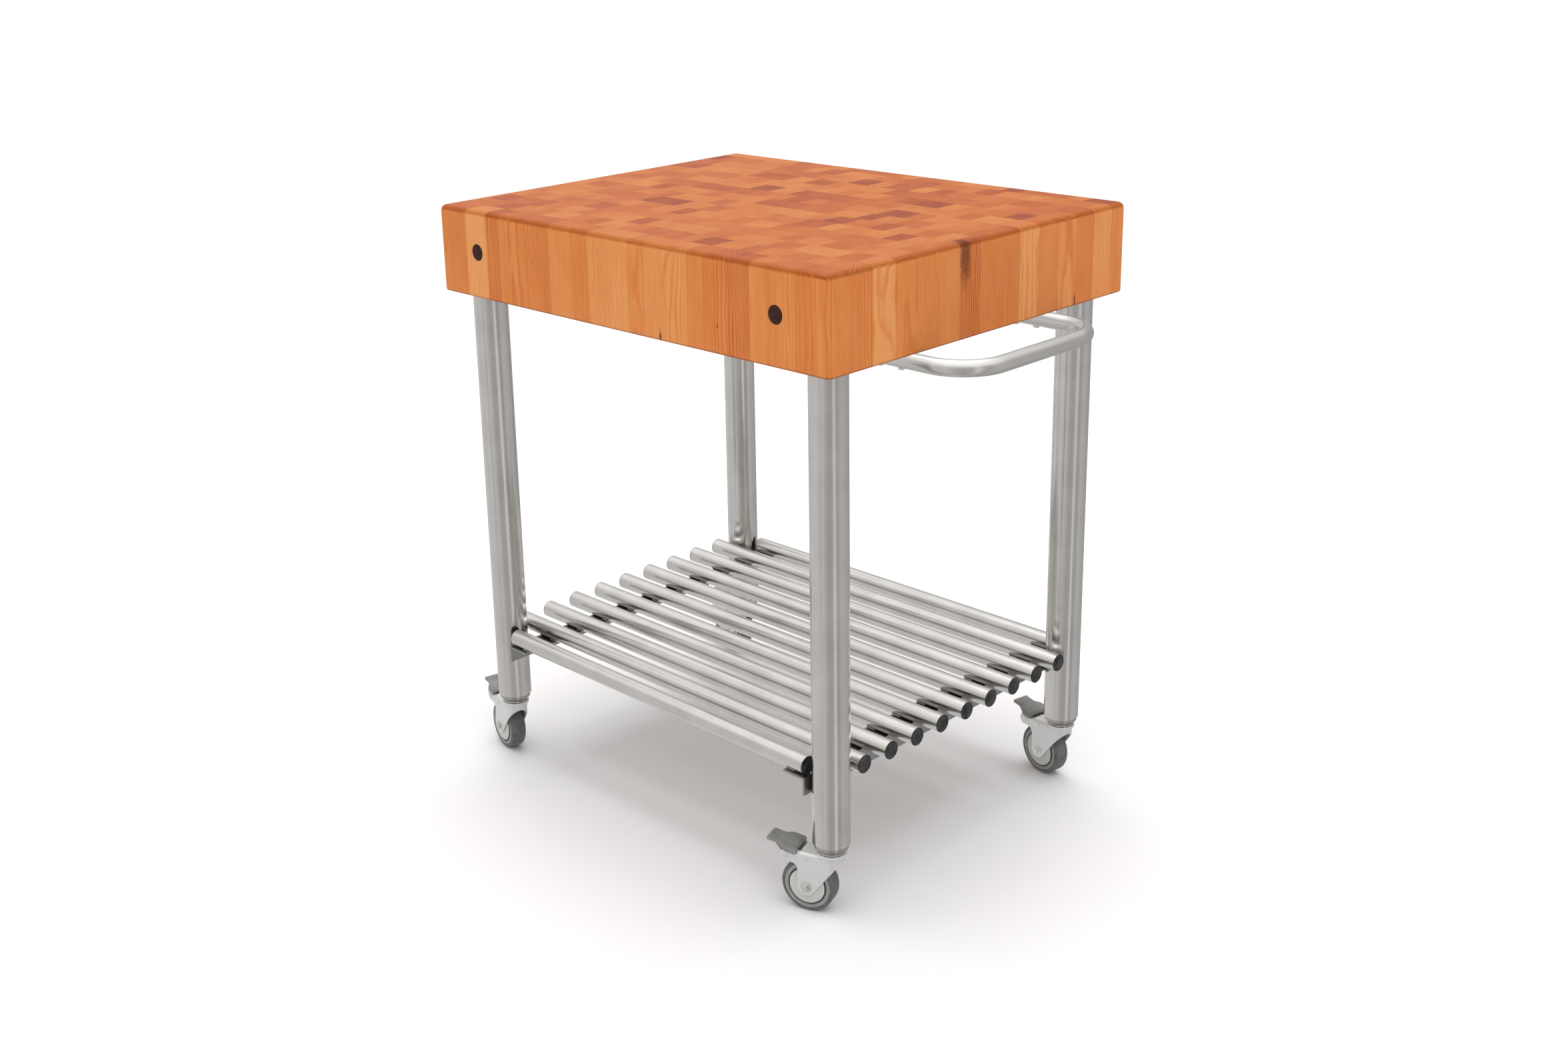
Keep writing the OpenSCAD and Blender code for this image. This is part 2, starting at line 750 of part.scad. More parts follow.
at_caster(BL) covers();  // covers_back_left
at_caster(BR) fork();  // fork_back_right
at_caster(BR) axle();  // axle_back_right
at_caster(BR) rivets();  // rivets_back_right
at_caster(BR) pedal();  // pedal_back_right
at_caster(BR) tread();  // tread_back_right
at_caster(BR) core();  // core_back_right
at_caster(BR) covers();  // covers_back_right
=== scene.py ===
"""Looks of a butcher block table: an end grain block on steel tube legs with casters."""

import sys

import json
import logging
import math
from dataclasses import dataclass
from enum import Enum
from typing import Any, Iterable, Optional, Sequence, Union

import bmesh
import bpy
from mathutils import Matrix, Vector

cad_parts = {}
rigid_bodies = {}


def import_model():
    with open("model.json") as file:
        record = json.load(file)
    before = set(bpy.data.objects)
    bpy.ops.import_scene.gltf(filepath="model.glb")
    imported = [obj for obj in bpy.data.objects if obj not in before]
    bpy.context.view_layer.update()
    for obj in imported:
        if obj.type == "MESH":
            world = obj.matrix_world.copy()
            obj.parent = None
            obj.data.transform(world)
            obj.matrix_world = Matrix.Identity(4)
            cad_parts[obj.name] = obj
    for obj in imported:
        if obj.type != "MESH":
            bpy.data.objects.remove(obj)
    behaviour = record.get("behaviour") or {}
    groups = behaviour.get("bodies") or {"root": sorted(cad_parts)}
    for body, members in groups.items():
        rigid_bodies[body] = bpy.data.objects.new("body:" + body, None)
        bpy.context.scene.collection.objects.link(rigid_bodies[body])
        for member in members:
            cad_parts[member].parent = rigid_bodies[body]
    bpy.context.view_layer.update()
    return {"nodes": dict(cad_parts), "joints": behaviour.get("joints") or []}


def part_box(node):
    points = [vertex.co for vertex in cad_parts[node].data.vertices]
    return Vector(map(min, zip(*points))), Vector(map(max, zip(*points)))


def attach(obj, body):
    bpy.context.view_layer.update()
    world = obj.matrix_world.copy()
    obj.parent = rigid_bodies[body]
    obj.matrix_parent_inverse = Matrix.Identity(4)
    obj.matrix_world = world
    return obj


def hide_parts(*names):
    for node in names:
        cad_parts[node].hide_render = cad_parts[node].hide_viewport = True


LOG = logging.getLogger("butcher_block_table")

for start_object in list(bpy.data.objects):
    bpy.data.objects.remove(start_object)
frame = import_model()

MM = 0.001
Colour = tuple[float, float, float]
Point = tuple[float, float, float]
Operand = Union["Signal", float]


class Corner(Enum):
    """The four legs and their casters."""

    FRONT_LEFT = "front_left"
    FRONT_RIGHT = "front_right"
    BACK_LEFT = "back_left"
    BACK_RIGHT = "back_right"


class Axis(Enum):
    """The direction that a tube or a brushed line runs in."""

    X = 0
    Y = 1
    Z = 2


# ---------------------------------------------------------------- node graphs


@dataclass
class Signal:
    """One node socket, with Python's operators standing for Math nodes."""

    graph: "Graph"
    socket: Any

    def maths(self, operation: str, *others: Operand) -> "Signal":
        """Returns a Math node of this operation on this value and the others."""
        return self.graph.maths(operation, self, *others)

    def __add__(self, other: Operand) -> "Signal":
        """Returns self + other."""
        return self.maths("ADD", other)

    def __radd__(self, other: float) -> "Signal":
        """Returns other + self."""
        return self.maths("ADD", other)

    def __sub__(self, other: Operand) -> "Signal":
        """Returns self - other."""
        return self.maths("SUBTRACT", other)

    def __rsub__(self, other: float) -> "Signal":
        """Returns other - self."""
        return self.graph.maths("SUBTRACT", other, self)

    def __mul__(self, other: Operand) -> "Signal":
        """Returns self * other."""
        return self.maths("MULTIPLY", other)

    def __rmul__(self, other: float) -> "Signal":
        """Returns other * self."""
        return self.maths("MULTIPLY", other)

    def __truediv__(self, other: Operand) -> "Signal":
        """Returns self / other."""
        return self.maths("DIVIDE", other)

    def __pow__(self, other: Operand) -> "Signal":
        """Returns self to the power other."""
        return self.maths("POWER", other)

    def __gt__(self, other: Operand) -> "Signal":
        """Returns 1 where self is greater than other, and 0 elsewhere."""
        return self.maths("GREATER_THAN", other)

    def __lt__(self, other: Operand) -> "Signal":
        """Returns 1 where self is less than other, and 0 elsewhere."""
        return self.maths("LESS_THAN", other)

    def floor(self) -> "Signal":
        """Returns the whole part."""
        return self.maths("FLOOR")

    def fract(self) -> "Signal":
        """Returns the part after the point."""
        return self.maths("FRACT")

    def fade(self, low: float, high: float) -> "Signal":
        """Returns a smooth step from 0 at low to 1 at high."""
        return self.graph.node(
            "ShaderNodeMapRange",
            {"interpolation_type": "SMOOTHSTEP"},
            {"Value": self, "From Min": low, "From Max": high},
        )["Result"]


class Outputs:
    """A node's outputs, read by name as signals."""

    def __init__(self, graph: "Graph", node: Any) -> None:
        """Keeps the graph and the node."""
        self.graph = graph
        self.node = node

    def __getitem__(self, key: Union[str, int]) -> Signal:
        """Returns the output socket of that name or place."""
        return Signal(self.graph, self.node.outputs[key])


class Graph:
    """A node tree, for a material, the world or geometry."""

    def __init__(self, tree: Any) -> None:
        """Keeps the tree.

        Args:
            tree: the node tree that nodes are added to.
        """
        self.tree = tree

    def node(
        self,
        kind: str,
        settings: Optional[dict[str, Any]] = None,
        inputs: Optional[dict[Union[str, int], Any]] = None,
    ) -> Outputs:
        """Adds one node.

        Args:
            kind: the node's type.
            settings: its own properties; "stops" holds a ramp's stops.
            inputs: values or signals of its input sockets, by name or place.

        Returns:
            The node's outputs.
        """
        made = self.tree.nodes.new(kind)
        for key, value in (settings or {}).items():
            if key == "stops":
                self._set_stops(made.color_ramp, value)
            else:
                setattr(made, key, value)
        for key, value in (inputs or {}).items():
            if isinstance(value, Signal):
                self.tree.links.new(value.socket, made.inputs[key])
            else:
                made.inputs[key].default_value = value
        return Outputs(self, made)

    @staticmethod
    def _set_stops(ramp: Any, stops: Sequence[tuple[float, Colour]]) -> None:
        """Gives a colour ramp these stops."""
        while len(ramp.elements) < len(stops):
            ramp.elements.new(1.0)
        for element, (place, colour) in zip(ramp.elements, stops):
            element.position = place
            element.color = (*colour, 1.0)

    def maths(self, operation: str, *values: Operand) -> Signal:
        """Adds a Math node and returns its value."""
        inputs = dict(enumerate(values))
        return self.node("ShaderNodeMath", {"operation": operation}, inputs)["Value"]

    def vector(self, x: Operand, y: Operand, z: Operand) -> Signal:
        """Returns a vector of three values."""
        return self.node("ShaderNodeCombineXYZ", {}, {"X": x, "Y": y, "Z": z})["Vector"]

    def parts(self, vector: Signal) -> Outputs:
        """Returns a vector's three values, named X, Y and Z."""
        return self.node("ShaderNodeSeparateXYZ", {}, {0: vector})

    def noise(self, place: Signal, scale: float, detail: float = 2.0,
              roughness: float = 0.5) -> Signal:
        """Returns a noise value about 0.5 at this place."""
        inputs = {"Vector": place, "Scale": scale, "Detail": detail, "Roughness": roughness}
        return self.node("ShaderNodeTexNoise", {}, inputs)["Fac"]

    def stretch(self, place: Signal, scale: Point) -> Signal:
        """Returns the place with each of its axes scaled."""
        inputs = {0: place, 1: scale}
        return self.node("ShaderNodeVectorMath", {"operation": "MULTIPLY"}, inputs)["Vector"]

    def mix(self, share: Operand, first: Union[Signal, Colour],
            second: Union[Signal, Colour]) -> Signal:
        """Returns a blend of two colours."""
        first, second = (
            value if isinstance(value, Signal) else (*value, 1.0) for value in (first, second)
        )
        made = self.node("ShaderNodeMix", {"data_type": "RGBA"}, {0: share, 6: first, 7: second})
        return made[2]

    def ramp(self, value: Signal, stops: Sequence[tuple[float, Colour]]) -> Signal:
        """Returns the colour that a ramp gives this value."""
        return self.node("ShaderNodeValToRGB", {"stops": stops}, {0: value})["Color"]

    def bump(self, height: Signal, depth: float) -> Signal:
        """Returns a normal for a height of 0 to 1 that is depth metres deep."""
        inputs = {"Height": height, "Distance": depth, "Strength": 1.0}
        return self.node("ShaderNodeBump", {}, inputs)["Normal"]


def fresh_graph(owner: Any) -> Graph:
    """Returns the graph of a material or a world, with no nodes in it."""
    owner.use_nodes = True
    owner.node_tree.nodes.clear()
    return Graph(owner.node_tree)


def sine(value: Operand) -> Operand:
    """Returns the sine of a signal or of a number."""
    return value.maths("SINE") if isinstance(value, Signal) else math.sin(value)


# ------------------------------------------------------------------- finishes


class Finish:
    """A surface finish, made into one material the first time it is used."""

    made: dict[Any, Any] = {}

    def title(self) -> str:
        """Returns the material's name."""
        raise NotImplementedError

    def surface(self, graph: Graph) -> dict[str, Any]:
        """Returns the Principled shader's inputs."""
        raise NotImplementedError

    def material(self) -> Any:
        """Returns the material, making it the first time."""
        if self not in Finish.made:
            material = bpy.data.materials.new(self.title())
            graph = fresh_graph(material)
            shader = graph.node("ShaderNodeBsdfPrincipled", {}, self.surface(graph))
            graph.node("ShaderNodeOutputMaterial", {}, {"Surface": shader["BSDF"]})
            Finish.made[self] = material
        return Finish.made[self]

    @staticmethod
    def place(graph: Graph) -> Signal:
        """Returns the point on the object."""
        return graph.node("ShaderNodeTexCoord")["Object"]


@dataclass(frozen=True)
class Streak:
    """A dark mineral streak or a small knot in the wood, as an upright ellipsoid."""

    centre: Point
    half_size: Point
    strength: float


@dataclass(frozen=True)
class MarkedStave:
    """One stave whose tone is chosen, found by a point inside it."""

    x: float
    y: float
    tone: float


@dataclass(frozen=True)
class EndGrainMaple(Finish):
    """Oiled maple staves that stand upright: end grain on top, long grain on the sides."""

    row_width: float
    row_start: float
    piece_width: float
    middle_x: float
    ring_pitch: float
    streaks: tuple[Streak, ...]
    marked: tuple[MarkedStave, ...]

    def title(self) -> str:
        """Returns the material's name."""
        return "oiled_end_grain_maple"

    def surface(self, graph: Graph) -> dict[str, Any]:
        """Returns the Principled shader's inputs."""
        place = self.place(graph)
        split = graph.parts(place)
        x, y = split["X"] - self.middle_x, split["Y"]
        across = (y - self.row_start) / self.row_width
        row = across.floor()
        along = self._along(x, row)
        column = along.floor()
        chance, more = (self._luck(graph, column, row, seed) for seed in (1.0, 8.0))
        tone = self._tone(chance["Red"], row, column)
        rings = self._rings(graph, place, along.fract(), across.fract(), chance, more, column)
        top = self._end_grain_and_painted_shade_share(graph)
        fibre = graph.noise(graph.stretch(place, (520.0, 520.0, 9.0)), 1.0, 2.0)
        cloud = graph.noise(graph.stretch(place, (26.0, 26.0, 9.0)), 1.0, 3.0, 0.6)
        shade = tone + (rings - 0.3) * (0.12 + 0.20 * more["Green"])
        shade = shade + (fibre - 0.5) * 0.34 + (cloud - 0.5) * 0.50
        # The long-grain ramp for upright faces and the darker end-grain ramp for level faces are
        # partly the wood's own difference and partly painted light: the top is darkened as painted
        # shade against its stronger light, and the sides are lightened as painted light against
        # their dimmer light.
        sides = graph.ramp(shade, [(0.0, (0.90, 0.375, 0.122)), (0.35, (0.81, 0.262, 0.064)),
                                   (0.68, (0.68, 0.176, 0.040)), (1.0, (0.31, 0.052, 0.016))])
        ends = graph.ramp(shade, [(0.0, (0.52, 0.178, 0.040)), (0.35, (0.435, 0.106, 0.017)),
                                  (0.68, (0.31, 0.055, 0.009)), (1.0, (0.15, 0.026, 0.010))])
        wood = graph.mix(top, sides, ends)
        wood = graph.mix(self._streaks(graph, place), wood, (0.060, 0.014, 0.008))
        joint = self._joints(graph, along.fract(), across.fract())
        wood = graph.mix(joint * 0.30, wood, (0.24, 0.070, 0.026))
        height = fibre * 0.6 + rings * 0.3 - joint * 0.5
        return {
            "Base Color": wood,
            "Roughness": 0.42 + (fibre - 0.5) * 0.16 + top * 0.04,
            "Normal": graph.bump(height, 0.00012),
            "Specular IOR Level": 0.12,
        }

    @staticmethod
    def _luck(graph: Graph, column: Operand, row: Operand, seed: float) -> Outputs:
        """Returns a stave's own three random values, named Red, Green and Blue."""
        key = graph.vector(column, row, seed)
        white = graph.node("ShaderNodeTexWhiteNoise", {"noise_dimensions": "3D"}, {"Vector": key})
        return graph.node("ShaderNodeSeparateColor", {}, {0: white["Color"]})

    def _along(self, x: Operand, row: Operand) -> Operand:
        """Returns the place along a row, in staves of slightly uneven width.

        Args:
            x: the place along the block, from its middle.
            row: the row's number.

        Returns:
            The place; its whole part is the stave's number.
        """
        even = x / self.piece_width + row * 0.618034
        return even + sine(even * 2.3 + row * 1.9) * 0.15

    def _tone(self, chance: Signal, row: Signal, column: Signal) -> Signal:
        """Returns each stave's tone, from pale 0 to heartwood 1.

        Args:
            chance: the stave's random value.
            row: the stave's row.
            column: the stave's number in its row.

        Returns:
            The tone.
        """
        tone = chance * 0.46 + 0.10 + (chance > 0.80) * 0.08 + (chance > 0.95) * 0.10
        for stave in self.marked:
            own_row = math.floor((stave.y - self.row_start) / self.row_width)
            own_column = math.floor(self._along(stave.x, own_row))
            far = (column - own_column).maths("ABSOLUTE") + (row - own_row).maths("ABSOLUTE")
            tone = tone + (stave.tone - tone) * (far < 0.5)
        return tone

    def _rings(self, graph: Graph, place: Signal, across_x: Signal, across_y: Signal,
               chance: Outputs, more: Outputs, column: Signal) -> Signal:
        """Returns the growth rings round each stave's own far centre, as lines of 1."""
        turn = chance["Green"] * math.tau
        reach = chance["Blue"] * 0.09 + 0.03
        wave = graph.noise(graph.stretch(place, (30.0, 30.0, 7.0)), 1.0, 2.0) * 0.013
        x = (across_x - 0.5) * self.piece_width + reach * turn.maths("COSINE")
        y = (across_y - 0.5) * self.row_width + reach * turn.maths("SINE")
        far = (x * x + y * y).maths("SQRT") + wave
        pitch = self.ring_pitch * (0.75 + 0.9 * more["Red"])
        line = (far / pitch * math.tau).maths("SINE") * 0.5 + 0.5
        return line ** 3.0

    @staticmethod
    def _end_grain_and_painted_shade_share(graph: Graph) -> Signal:
        """Returns 1 on level faces, which cut the fibres and take the darker end-grain ramp, and 0
        on upright ones; that darker ramp is partly painted shade that offsets the stronger light
        on the top.
        """
        normal = graph.node("ShaderNodeTexCoord")["Normal"]
        level = graph.parts(normal)["Z"]
        return level.maths("ABSOLUTE").fade(0.08, 0.55)

    @staticmethod
    def _joints(graph: Graph, along: Signal, across: Signal) -> Signal:
        """Returns thin glue lines between the staves."""
        near_x = 1.0 - (along - 0.5).maths("ABSOLUTE") * 2.0
        near_y = 1.0 - (across - 0.5).maths("ABSOLUTE") * 2.0
        return 1.0 - near_x.maths("MINIMUM", near_y).fade(0.0, 0.022)

    def _streaks(self, graph: Graph, place: Signal) -> Signal:
        """Returns how much the mineral streaks and knots darken the wood."""
        ragged = (graph.noise(place, 160.0, 3.0) - 0.5) * 0.8
        total: Operand = 0.0
        for streak in self.streaks:
            stretch = tuple(1.0 / size for size in streak.half_size)
            offset = graph.node(
                "ShaderNodeVectorMath", {"operation": "SUBTRACT"}, {0: place, 1: streak.centre}
            )["Vector"]
            far = graph.node("ShaderNodeVectorMath", {"operation": "LENGTH"},
                             {0: graph.stretch(offset, stretch)})["Value"]
            spot = (1.0 - (far + ragged).fade(0.35, 1.0)) * streak.strength
            total = spot + total
        return total.maths("MINIMUM", 1.0)


@dataclass(frozen=True)
class DarkWalnut(Finish):
    """Dark oiled walnut of the plugs, with fine grain along the plug's face."""

    colour: Colour = (0.030, 0.010, 0.007)

    def title(self) -> str:
        """Returns the material's name."""
        return "dark_walnut"

    def surface(self, graph: Graph) -> dict[str, Any]:
        """Returns the Principled shader's inputs."""
        grain = graph.noise(graph.stretch(self.place(graph), (900.0, 60.0, 140.0)), 1.0, 3.0)
        light = tuple(2.4 * part for part in self.colour)
        return {
            "Base Color": graph.mix(grain.fade(0.3, 0.8), self.colour, light),
            "Roughness": 0.50 + grain * 0.2,
            "Specular IOR Level": 0.15,
            "Normal": graph.bump(grain, 0.00008),
        }


@dataclass(frozen=True)
class DrawnSteel(Finish):
    """Stainless tube or angle with fine lines and faint streaks along its length."""

    axis: Axis
    colour: Colour = (0.60, 0.58, 0.555)
    roughness: float = 0.19

    def title(self) -> str:
        """Returns the material's name."""
        return f"drawn_steel_along_{self.axis.name.lower()}"

    def surface(self, graph: Graph) -> dict[str, Any]:
        """Returns the Principled shader's inputs."""
        place = self.place(graph)
        lines = graph.noise(graph.stretch(place, self._along(1400.0, 3.0)), 1.0, 2.0, 0.6)
        streaks = graph.noise(graph.stretch(place, self._along(150.0, 2.2)), 1.0, 3.0, 0.6)
        smudges = graph.noise(place, 22.0, 3.0)
        tint = (streaks - 0.5) * 0.45 + (smudges - 0.5) * 0.5 + 0.5
        dark = tuple(part * 0.80 for part in self.colour)
        light = tuple(min(1.0, part * 1.14) for part in self.colour)
        rough = self.roughness + (lines - 0.5) * 0.12 + (smudges - 0.5) * 0.12
        return {
            "Base Color": graph.mix(tint.fade(0.1, 0.9), dark, light),
            "Metallic": 1.0,
            "Roughness": rough,
            "Normal": graph.bump(lines * 0.5 + streaks, 0.00007),
        }

    def _along(self, across: float, along: float) -> Point:
        """Returns noise scales that draw a pattern out along the axis."""
        scales = [across, across, across]
        scales[self.axis.value] = along
        return tuple(scales)


@dataclass(frozen=True)
class PlatedSteel(Finish):
    """Zinc or chrome plate on pressed or turned steel, with soft cloudy spangle."""

    colour: Colour
    roughness: float
    cloud: float
    edge: float = 0.0006
    metal: float = 1.0

    def title(self) -> str:
        """Returns the material's name."""
        return f"plated_steel_{int(self.roughness * 100)}_{int(self.colour[0] * 100)}"

    def surface(self, graph: Graph) -> dict[str, Any]:
        """Returns the Principled shader's inputs."""
        place = self.place(graph)
        spangle = graph.noise(place, 260.0, 3.0, 0.65)
        wear = graph.noise(place, 60.0, 2.0)
        dark = tuple(part * (1.0 - self.cloud) for part in self.colour)
        soft_edge = graph.node("ShaderNodeBevel", {"samples": 4}, {"Radius": self.edge})
        bump = graph.node("ShaderNodeBump", {}, {
            "Height": spangle, "Distance": 0.00003, "Normal": soft_edge["Normal"],
        })
        return {
            "Base Color": graph.mix(spangle.fade(0.3, 0.75), dark, self.colour),
            "Metallic": self.metal,
            "Roughness": self.roughness + (wear - 0.5) * 0.16,
            "Normal": bump["Normal"],
        }


@dataclass(frozen=True)
class MouldedPlastic(Finish):
    """Moulded plastic or rubber with a fine texture and slight marks of use."""

    kind: str
    colour: Colour
    roughness: float
    grain: float = 1500.0
    depth: float = 0.00004
    dust: float = 0.12
    shine: float = 0.4

    def title(self) -> str:
        """Returns the material's name."""
        return self.kind

    def surface(self, graph: Graph) -> dict[str, Any]:
        """Returns the Principled shader's inputs."""
        place = self.place(graph)
        grain = graph.noise(place, self.grain, 2.0)
        marks = graph.noise(place, 75.0, 4.0, 0.6)
        light = tuple(part + (1.0 - part) * self.dust * 0.5 for part in self.colour)
        dark = tuple(part * (1.0 - self.dust) for part in self.colour)
        return {
            "Base Color": graph.mix(marks.fade(0.25, 0.75), dark, light),
            "Roughness": self.roughness + (marks - 0.5) * 0.2,
            "Normal": graph.bump(grain, self.depth),
            "Specular IOR Level": self.shine,
        }


ZINC = PlatedSteel((0.80, 0.795, 0.78), 0.36, 0.10)
FORK_ZINC = PlatedSteel((0.80, 0.79, 0.775), 0.42, 0.07, 0.0008, 0.55)
BRIGHT = PlatedSteel((0.66, 0.65, 0.63), 0.20, 0.12)
RIM = PlatedSteel((0.42, 0.405, 0.385), 0.22, 0.12)
# Near-black steel for the swivel cup's neck: painted shadow in the gap under the leg.
CUP_NECK_PAINTED_SHADOW = PlatedSteel((0.11, 0.105, 0.10), 0.20, 0.05, 0.0004)
# Rail steel darkened to stand for the shade between and under the shelf tubes: painted shade.
RAIL_PAINTED_SHADE = PlatedSteel((0.34, 0.33, 0.32), 0.36, 0.12)
CHROME = PlatedSteel((0.80, 0.79, 0.78), 0.14, 0.05, 0.0004)
BRASS = PlatedSteel((0.72, 0.50, 0.22), 0.28, 0.15)
BLACK_CAP = MouldedPlastic("black_cap", (0.009, 0.009, 0.010), 0.45, shine=0.16)
RUNNING_FACE = MouldedPlastic("grey_running_face", (0.125, 0.125, 0.122), 0.60, 900.0, 0.00005)
SIDEWALL = MouldedPlastic("grey_sidewall", (0.370, 0.365, 0.350), 0.60)
CORE = MouldedPlastic("grey_core", (0.26, 0.26, 0.25), 0.5)
# Near-black for the core's inner rim: painted shadow under the cover disc's edge.
PAINTED_GAP_SHADOW = MouldedPlastic("core_gap_painted_shadow", (0.010, 0.010, 0.010), 0.50)
COVER = MouldedPlastic("off_white_cover", (0.68, 0.675, 0.65), 0.40, dust=0.06)
PEDAL = MouldedPlastic("grey_pedal", (0.265, 0.268, 0.256), 0.48)


def dress(piece: Any, *finishes: Finish) -> None:
    """Gives a piece or a CAD node these finishes, in the order of its slots."""
    slots = piece.data.materials
    if len(slots):
        slots.clear()
    for finish in finishes:
        slots.append(finish.material())


# --------------------------------------------------------------------- meshes


def placed(name: str, data: Any) -> Any:
    """Makes an object of this data and puts it in the scene."""
    made = bpy.data.objects.new(name, data)
    bpy.context.scene.collection.objects.link(made)
    return made


def new_piece(name: str, mesh: bmesh.types.BMesh, sharp: float = 35.0) -> Any:
    """Makes an object of a mesh, smooth between edges under the sharp angle.

    Args:
        name: the piece's name.
        mesh: its mesh, freed here.
        sharp: edges sharper than this angle, in degrees, stay sharp.

    Returns:
        The object, at the origin.
    """
    data = bpy.data.meshes.new(name)
    mesh.to_mesh(data)
    mesh.free()
    piece = placed(name, data)
    data.shade_smooth()
    data.set_sharp_from_angle(angle=math.radians(sharp))
    return piece


def baked(piece: Any, name: str) -> Any:
    """Replaces a piece by a plain mesh of its modifiers' result.

    Args:
        piece: the object whose modifiers are applied; it is removed.
        name: the name of the new object.

    Returns:
        The new object.
    """
    bpy.context.view_layer.update()
    shown = piece.evaluated_get(bpy.context.evaluated_depsgraph_get())
    data = bpy.data.meshes.new_from_object(shown)
    bpy.data.objects.remove(piece)
    data.name = name
    return placed(name, data)


def lathe(mesh: bmesh.types.BMesh, outline: Sequence[tuple[float, float]], place: Matrix,
          slots: Sequence[int] = (), segments: int = 96) -> None:
    """Adds a closed outline turned round the local Z axis.

    Args:
        mesh: the mesh that is added to.
        outline: (radius, height) points in order; radius 0 closes on the axis.
        place: where the turned shape stands.
        slots: the material slot of each stretch, 0 where left out.
        segments: the number of steps round.
    """
    rings = []
    for radius, height in outline:
        if radius < 1e-7:
            rings.append([mesh.verts.new(place @ Vector((0.0, 0.0, height)))])
            continue
        angles = (math.tau * i / segments for i in range(segments))
        rings.append([
            mesh.verts.new(place @ Vector((radius * math.cos(a), radius * math.sin(a), height)))
            for a in angles
        ])
    stretches = list(zip(rings, rings[1:] + rings[:1]))
    for number, (low, high) in enumerate(stretches):
        if len(low) == 1 and len(high) == 1:
            continue
        for i in range(segments):
            j = (i + 1) % segments
            corners = [low[i % len(low)], low[j % len(low)], high[j % len(high)],
                       high[i % len(high)]]
            face = mesh.faces.new(list(dict.fromkeys(corners)))
            face.material_index = slots[number] if number < len(slots) else 0


def arc(centre: tuple[float, float], radius: float, start: float, end: float,
        steps: int = 6) -> list[tuple[float, float]]:
    """Returns points on an arc from start to end, in degrees."""
    angles = [math.radians(start + (end - start) * i / steps) for i in range(steps + 1)]
    return [(centre[0] + radius * math.cos(a), centre[1] + radius * math.sin(a)) for a in angles]


def skin(mesh: bmesh.types.BMesh, loops: Sequence[Sequence[Any]]) -> None:
    """Adds the faces between each loop of vertices and the next, all of one length."""
    for low, high in zip(loops, loops[1:]):
        for i in range(len(low)):
            j = (i + 1) % len(low)
            mesh.faces.new([low[i], low[j], high[j], high[i]])


def prism(mesh: bmesh.types.BMesh, outline: Sequence[tuple[float, float]], low: float,
          high: float, place: Matrix) -> None:
    """Adds a flat outline drawn up from low to high along the local Z axis."""
    levels = [[mesh.verts.new(place @ Vector((x, y, z))) for x, y in outline]
              for z in (low, high)]
    mesh.faces.new(levels[0][::-1])
    mesh.faces.new(levels[1])
    skin(mesh, levels)


def soften(piece: Any, width: float, segments: int = 3, angle: float = 35.0) -> None:
    """Adds a bevel to a piece's sharp edges."""
    bevel = piece.modifiers.new("soft edges", "BEVEL")
    bevel.width = width
    bevel.segments = segments
    bevel.limit_method = "ANGLE"
    bevel.angle_limit = math.radians(angle)
    bevel.harden_normals = True


def outward(mesh: bmesh.types.BMesh) -> bmesh.types.BMesh:
    """Merges a mesh's doubles, points its faces outwards and returns it."""
    bmesh.ops.remove_doubles(mesh, verts=mesh.verts, dist=1e-6)
    bmesh.ops.recalc_face_normals(mesh, faces=mesh.faces)
    return mesh


# ------------------------------------------------------------- geometry nodes


class Pattern:
    """A Geometry Nodes tree with named inputs that a piece is made from."""

    def __init__(self, name: str, sizes: dict[str, float]) -> None:
        """Makes the tree's interface.

        Args:
            name: the tree's name.
            sizes: the named inputs and their values, in metres.
        """
        self.tree = bpy.data.node_groups.new(name, "GeometryNodeTree")
        self.sizes = sizes
        face = self.tree.interface
        face.new_socket("Geometry", in_out="INPUT", socket_type="NodeSocketGeometry")
        face.new_socket("Geometry", in_out="OUTPUT", socket_type="NodeSocketGeometry")
        for title in sizes:
            face.new_socket(title, in_out="INPUT", socket_type="NodeSocketFloat")
        self.graph = Graph(self.tree)
        self.inputs = self.graph.node("NodeGroupInput")

    def finish(self, instances: Signal, finish: Finish) -> None:
        """Ends the tree: the instances are made real and given a finish."""
        real = self.graph.node("GeometryNodeRealizeInstances", {}, {0: instances})[0]
        dressed = self.graph.node("GeometryNodeSetMaterial", {},
                                  {"Geometry": real, "Material": finish.material()})[0]
        self.graph.node("NodeGroupOutput", {}, {0: dressed})

    def grow(self, name: str, seeds: Any) -> Any:
        """Runs the tree on a mesh of points or edges.

        Args:
            name: the made piece's name.
            seeds: the object that holds the points; it is removed.

        Returns:
            The made piece.
        """
        modifier = seeds.modifiers.new("pattern", "NODES")
        modifier.node_group = self.tree
        for item in self.tree.interface.items_tree:
            if item.item_type == "SOCKET" and item.name in self.sizes:
                modifier[item.identifier] = self.sizes[item.name]
        return baked(seeds, name)


def seed_mesh(name: str, points: Sequence[Vector], edges: Sequence[tuple[int, int]] = ()) -> Any:
    """Makes a mesh of points, with or without edges between them."""
    data = bpy.data.meshes.new(name)
    data.from_pydata([tuple(point) for point in points], edges, [])
    return placed(name, data)


def seed_points(points: Sequence[Vector], facings: Sequence[Vector]) -> Any:
    """Makes a mesh of loose points that each hold the way they face."""
    seeds = seed_mesh("seeds", points)
    facing = seeds.data.attributes.new("facing", "FLOAT_VECTOR", "POINT")
    facing.data.foreach_set("vector", [part for f in facings for part in f])
    return seeds


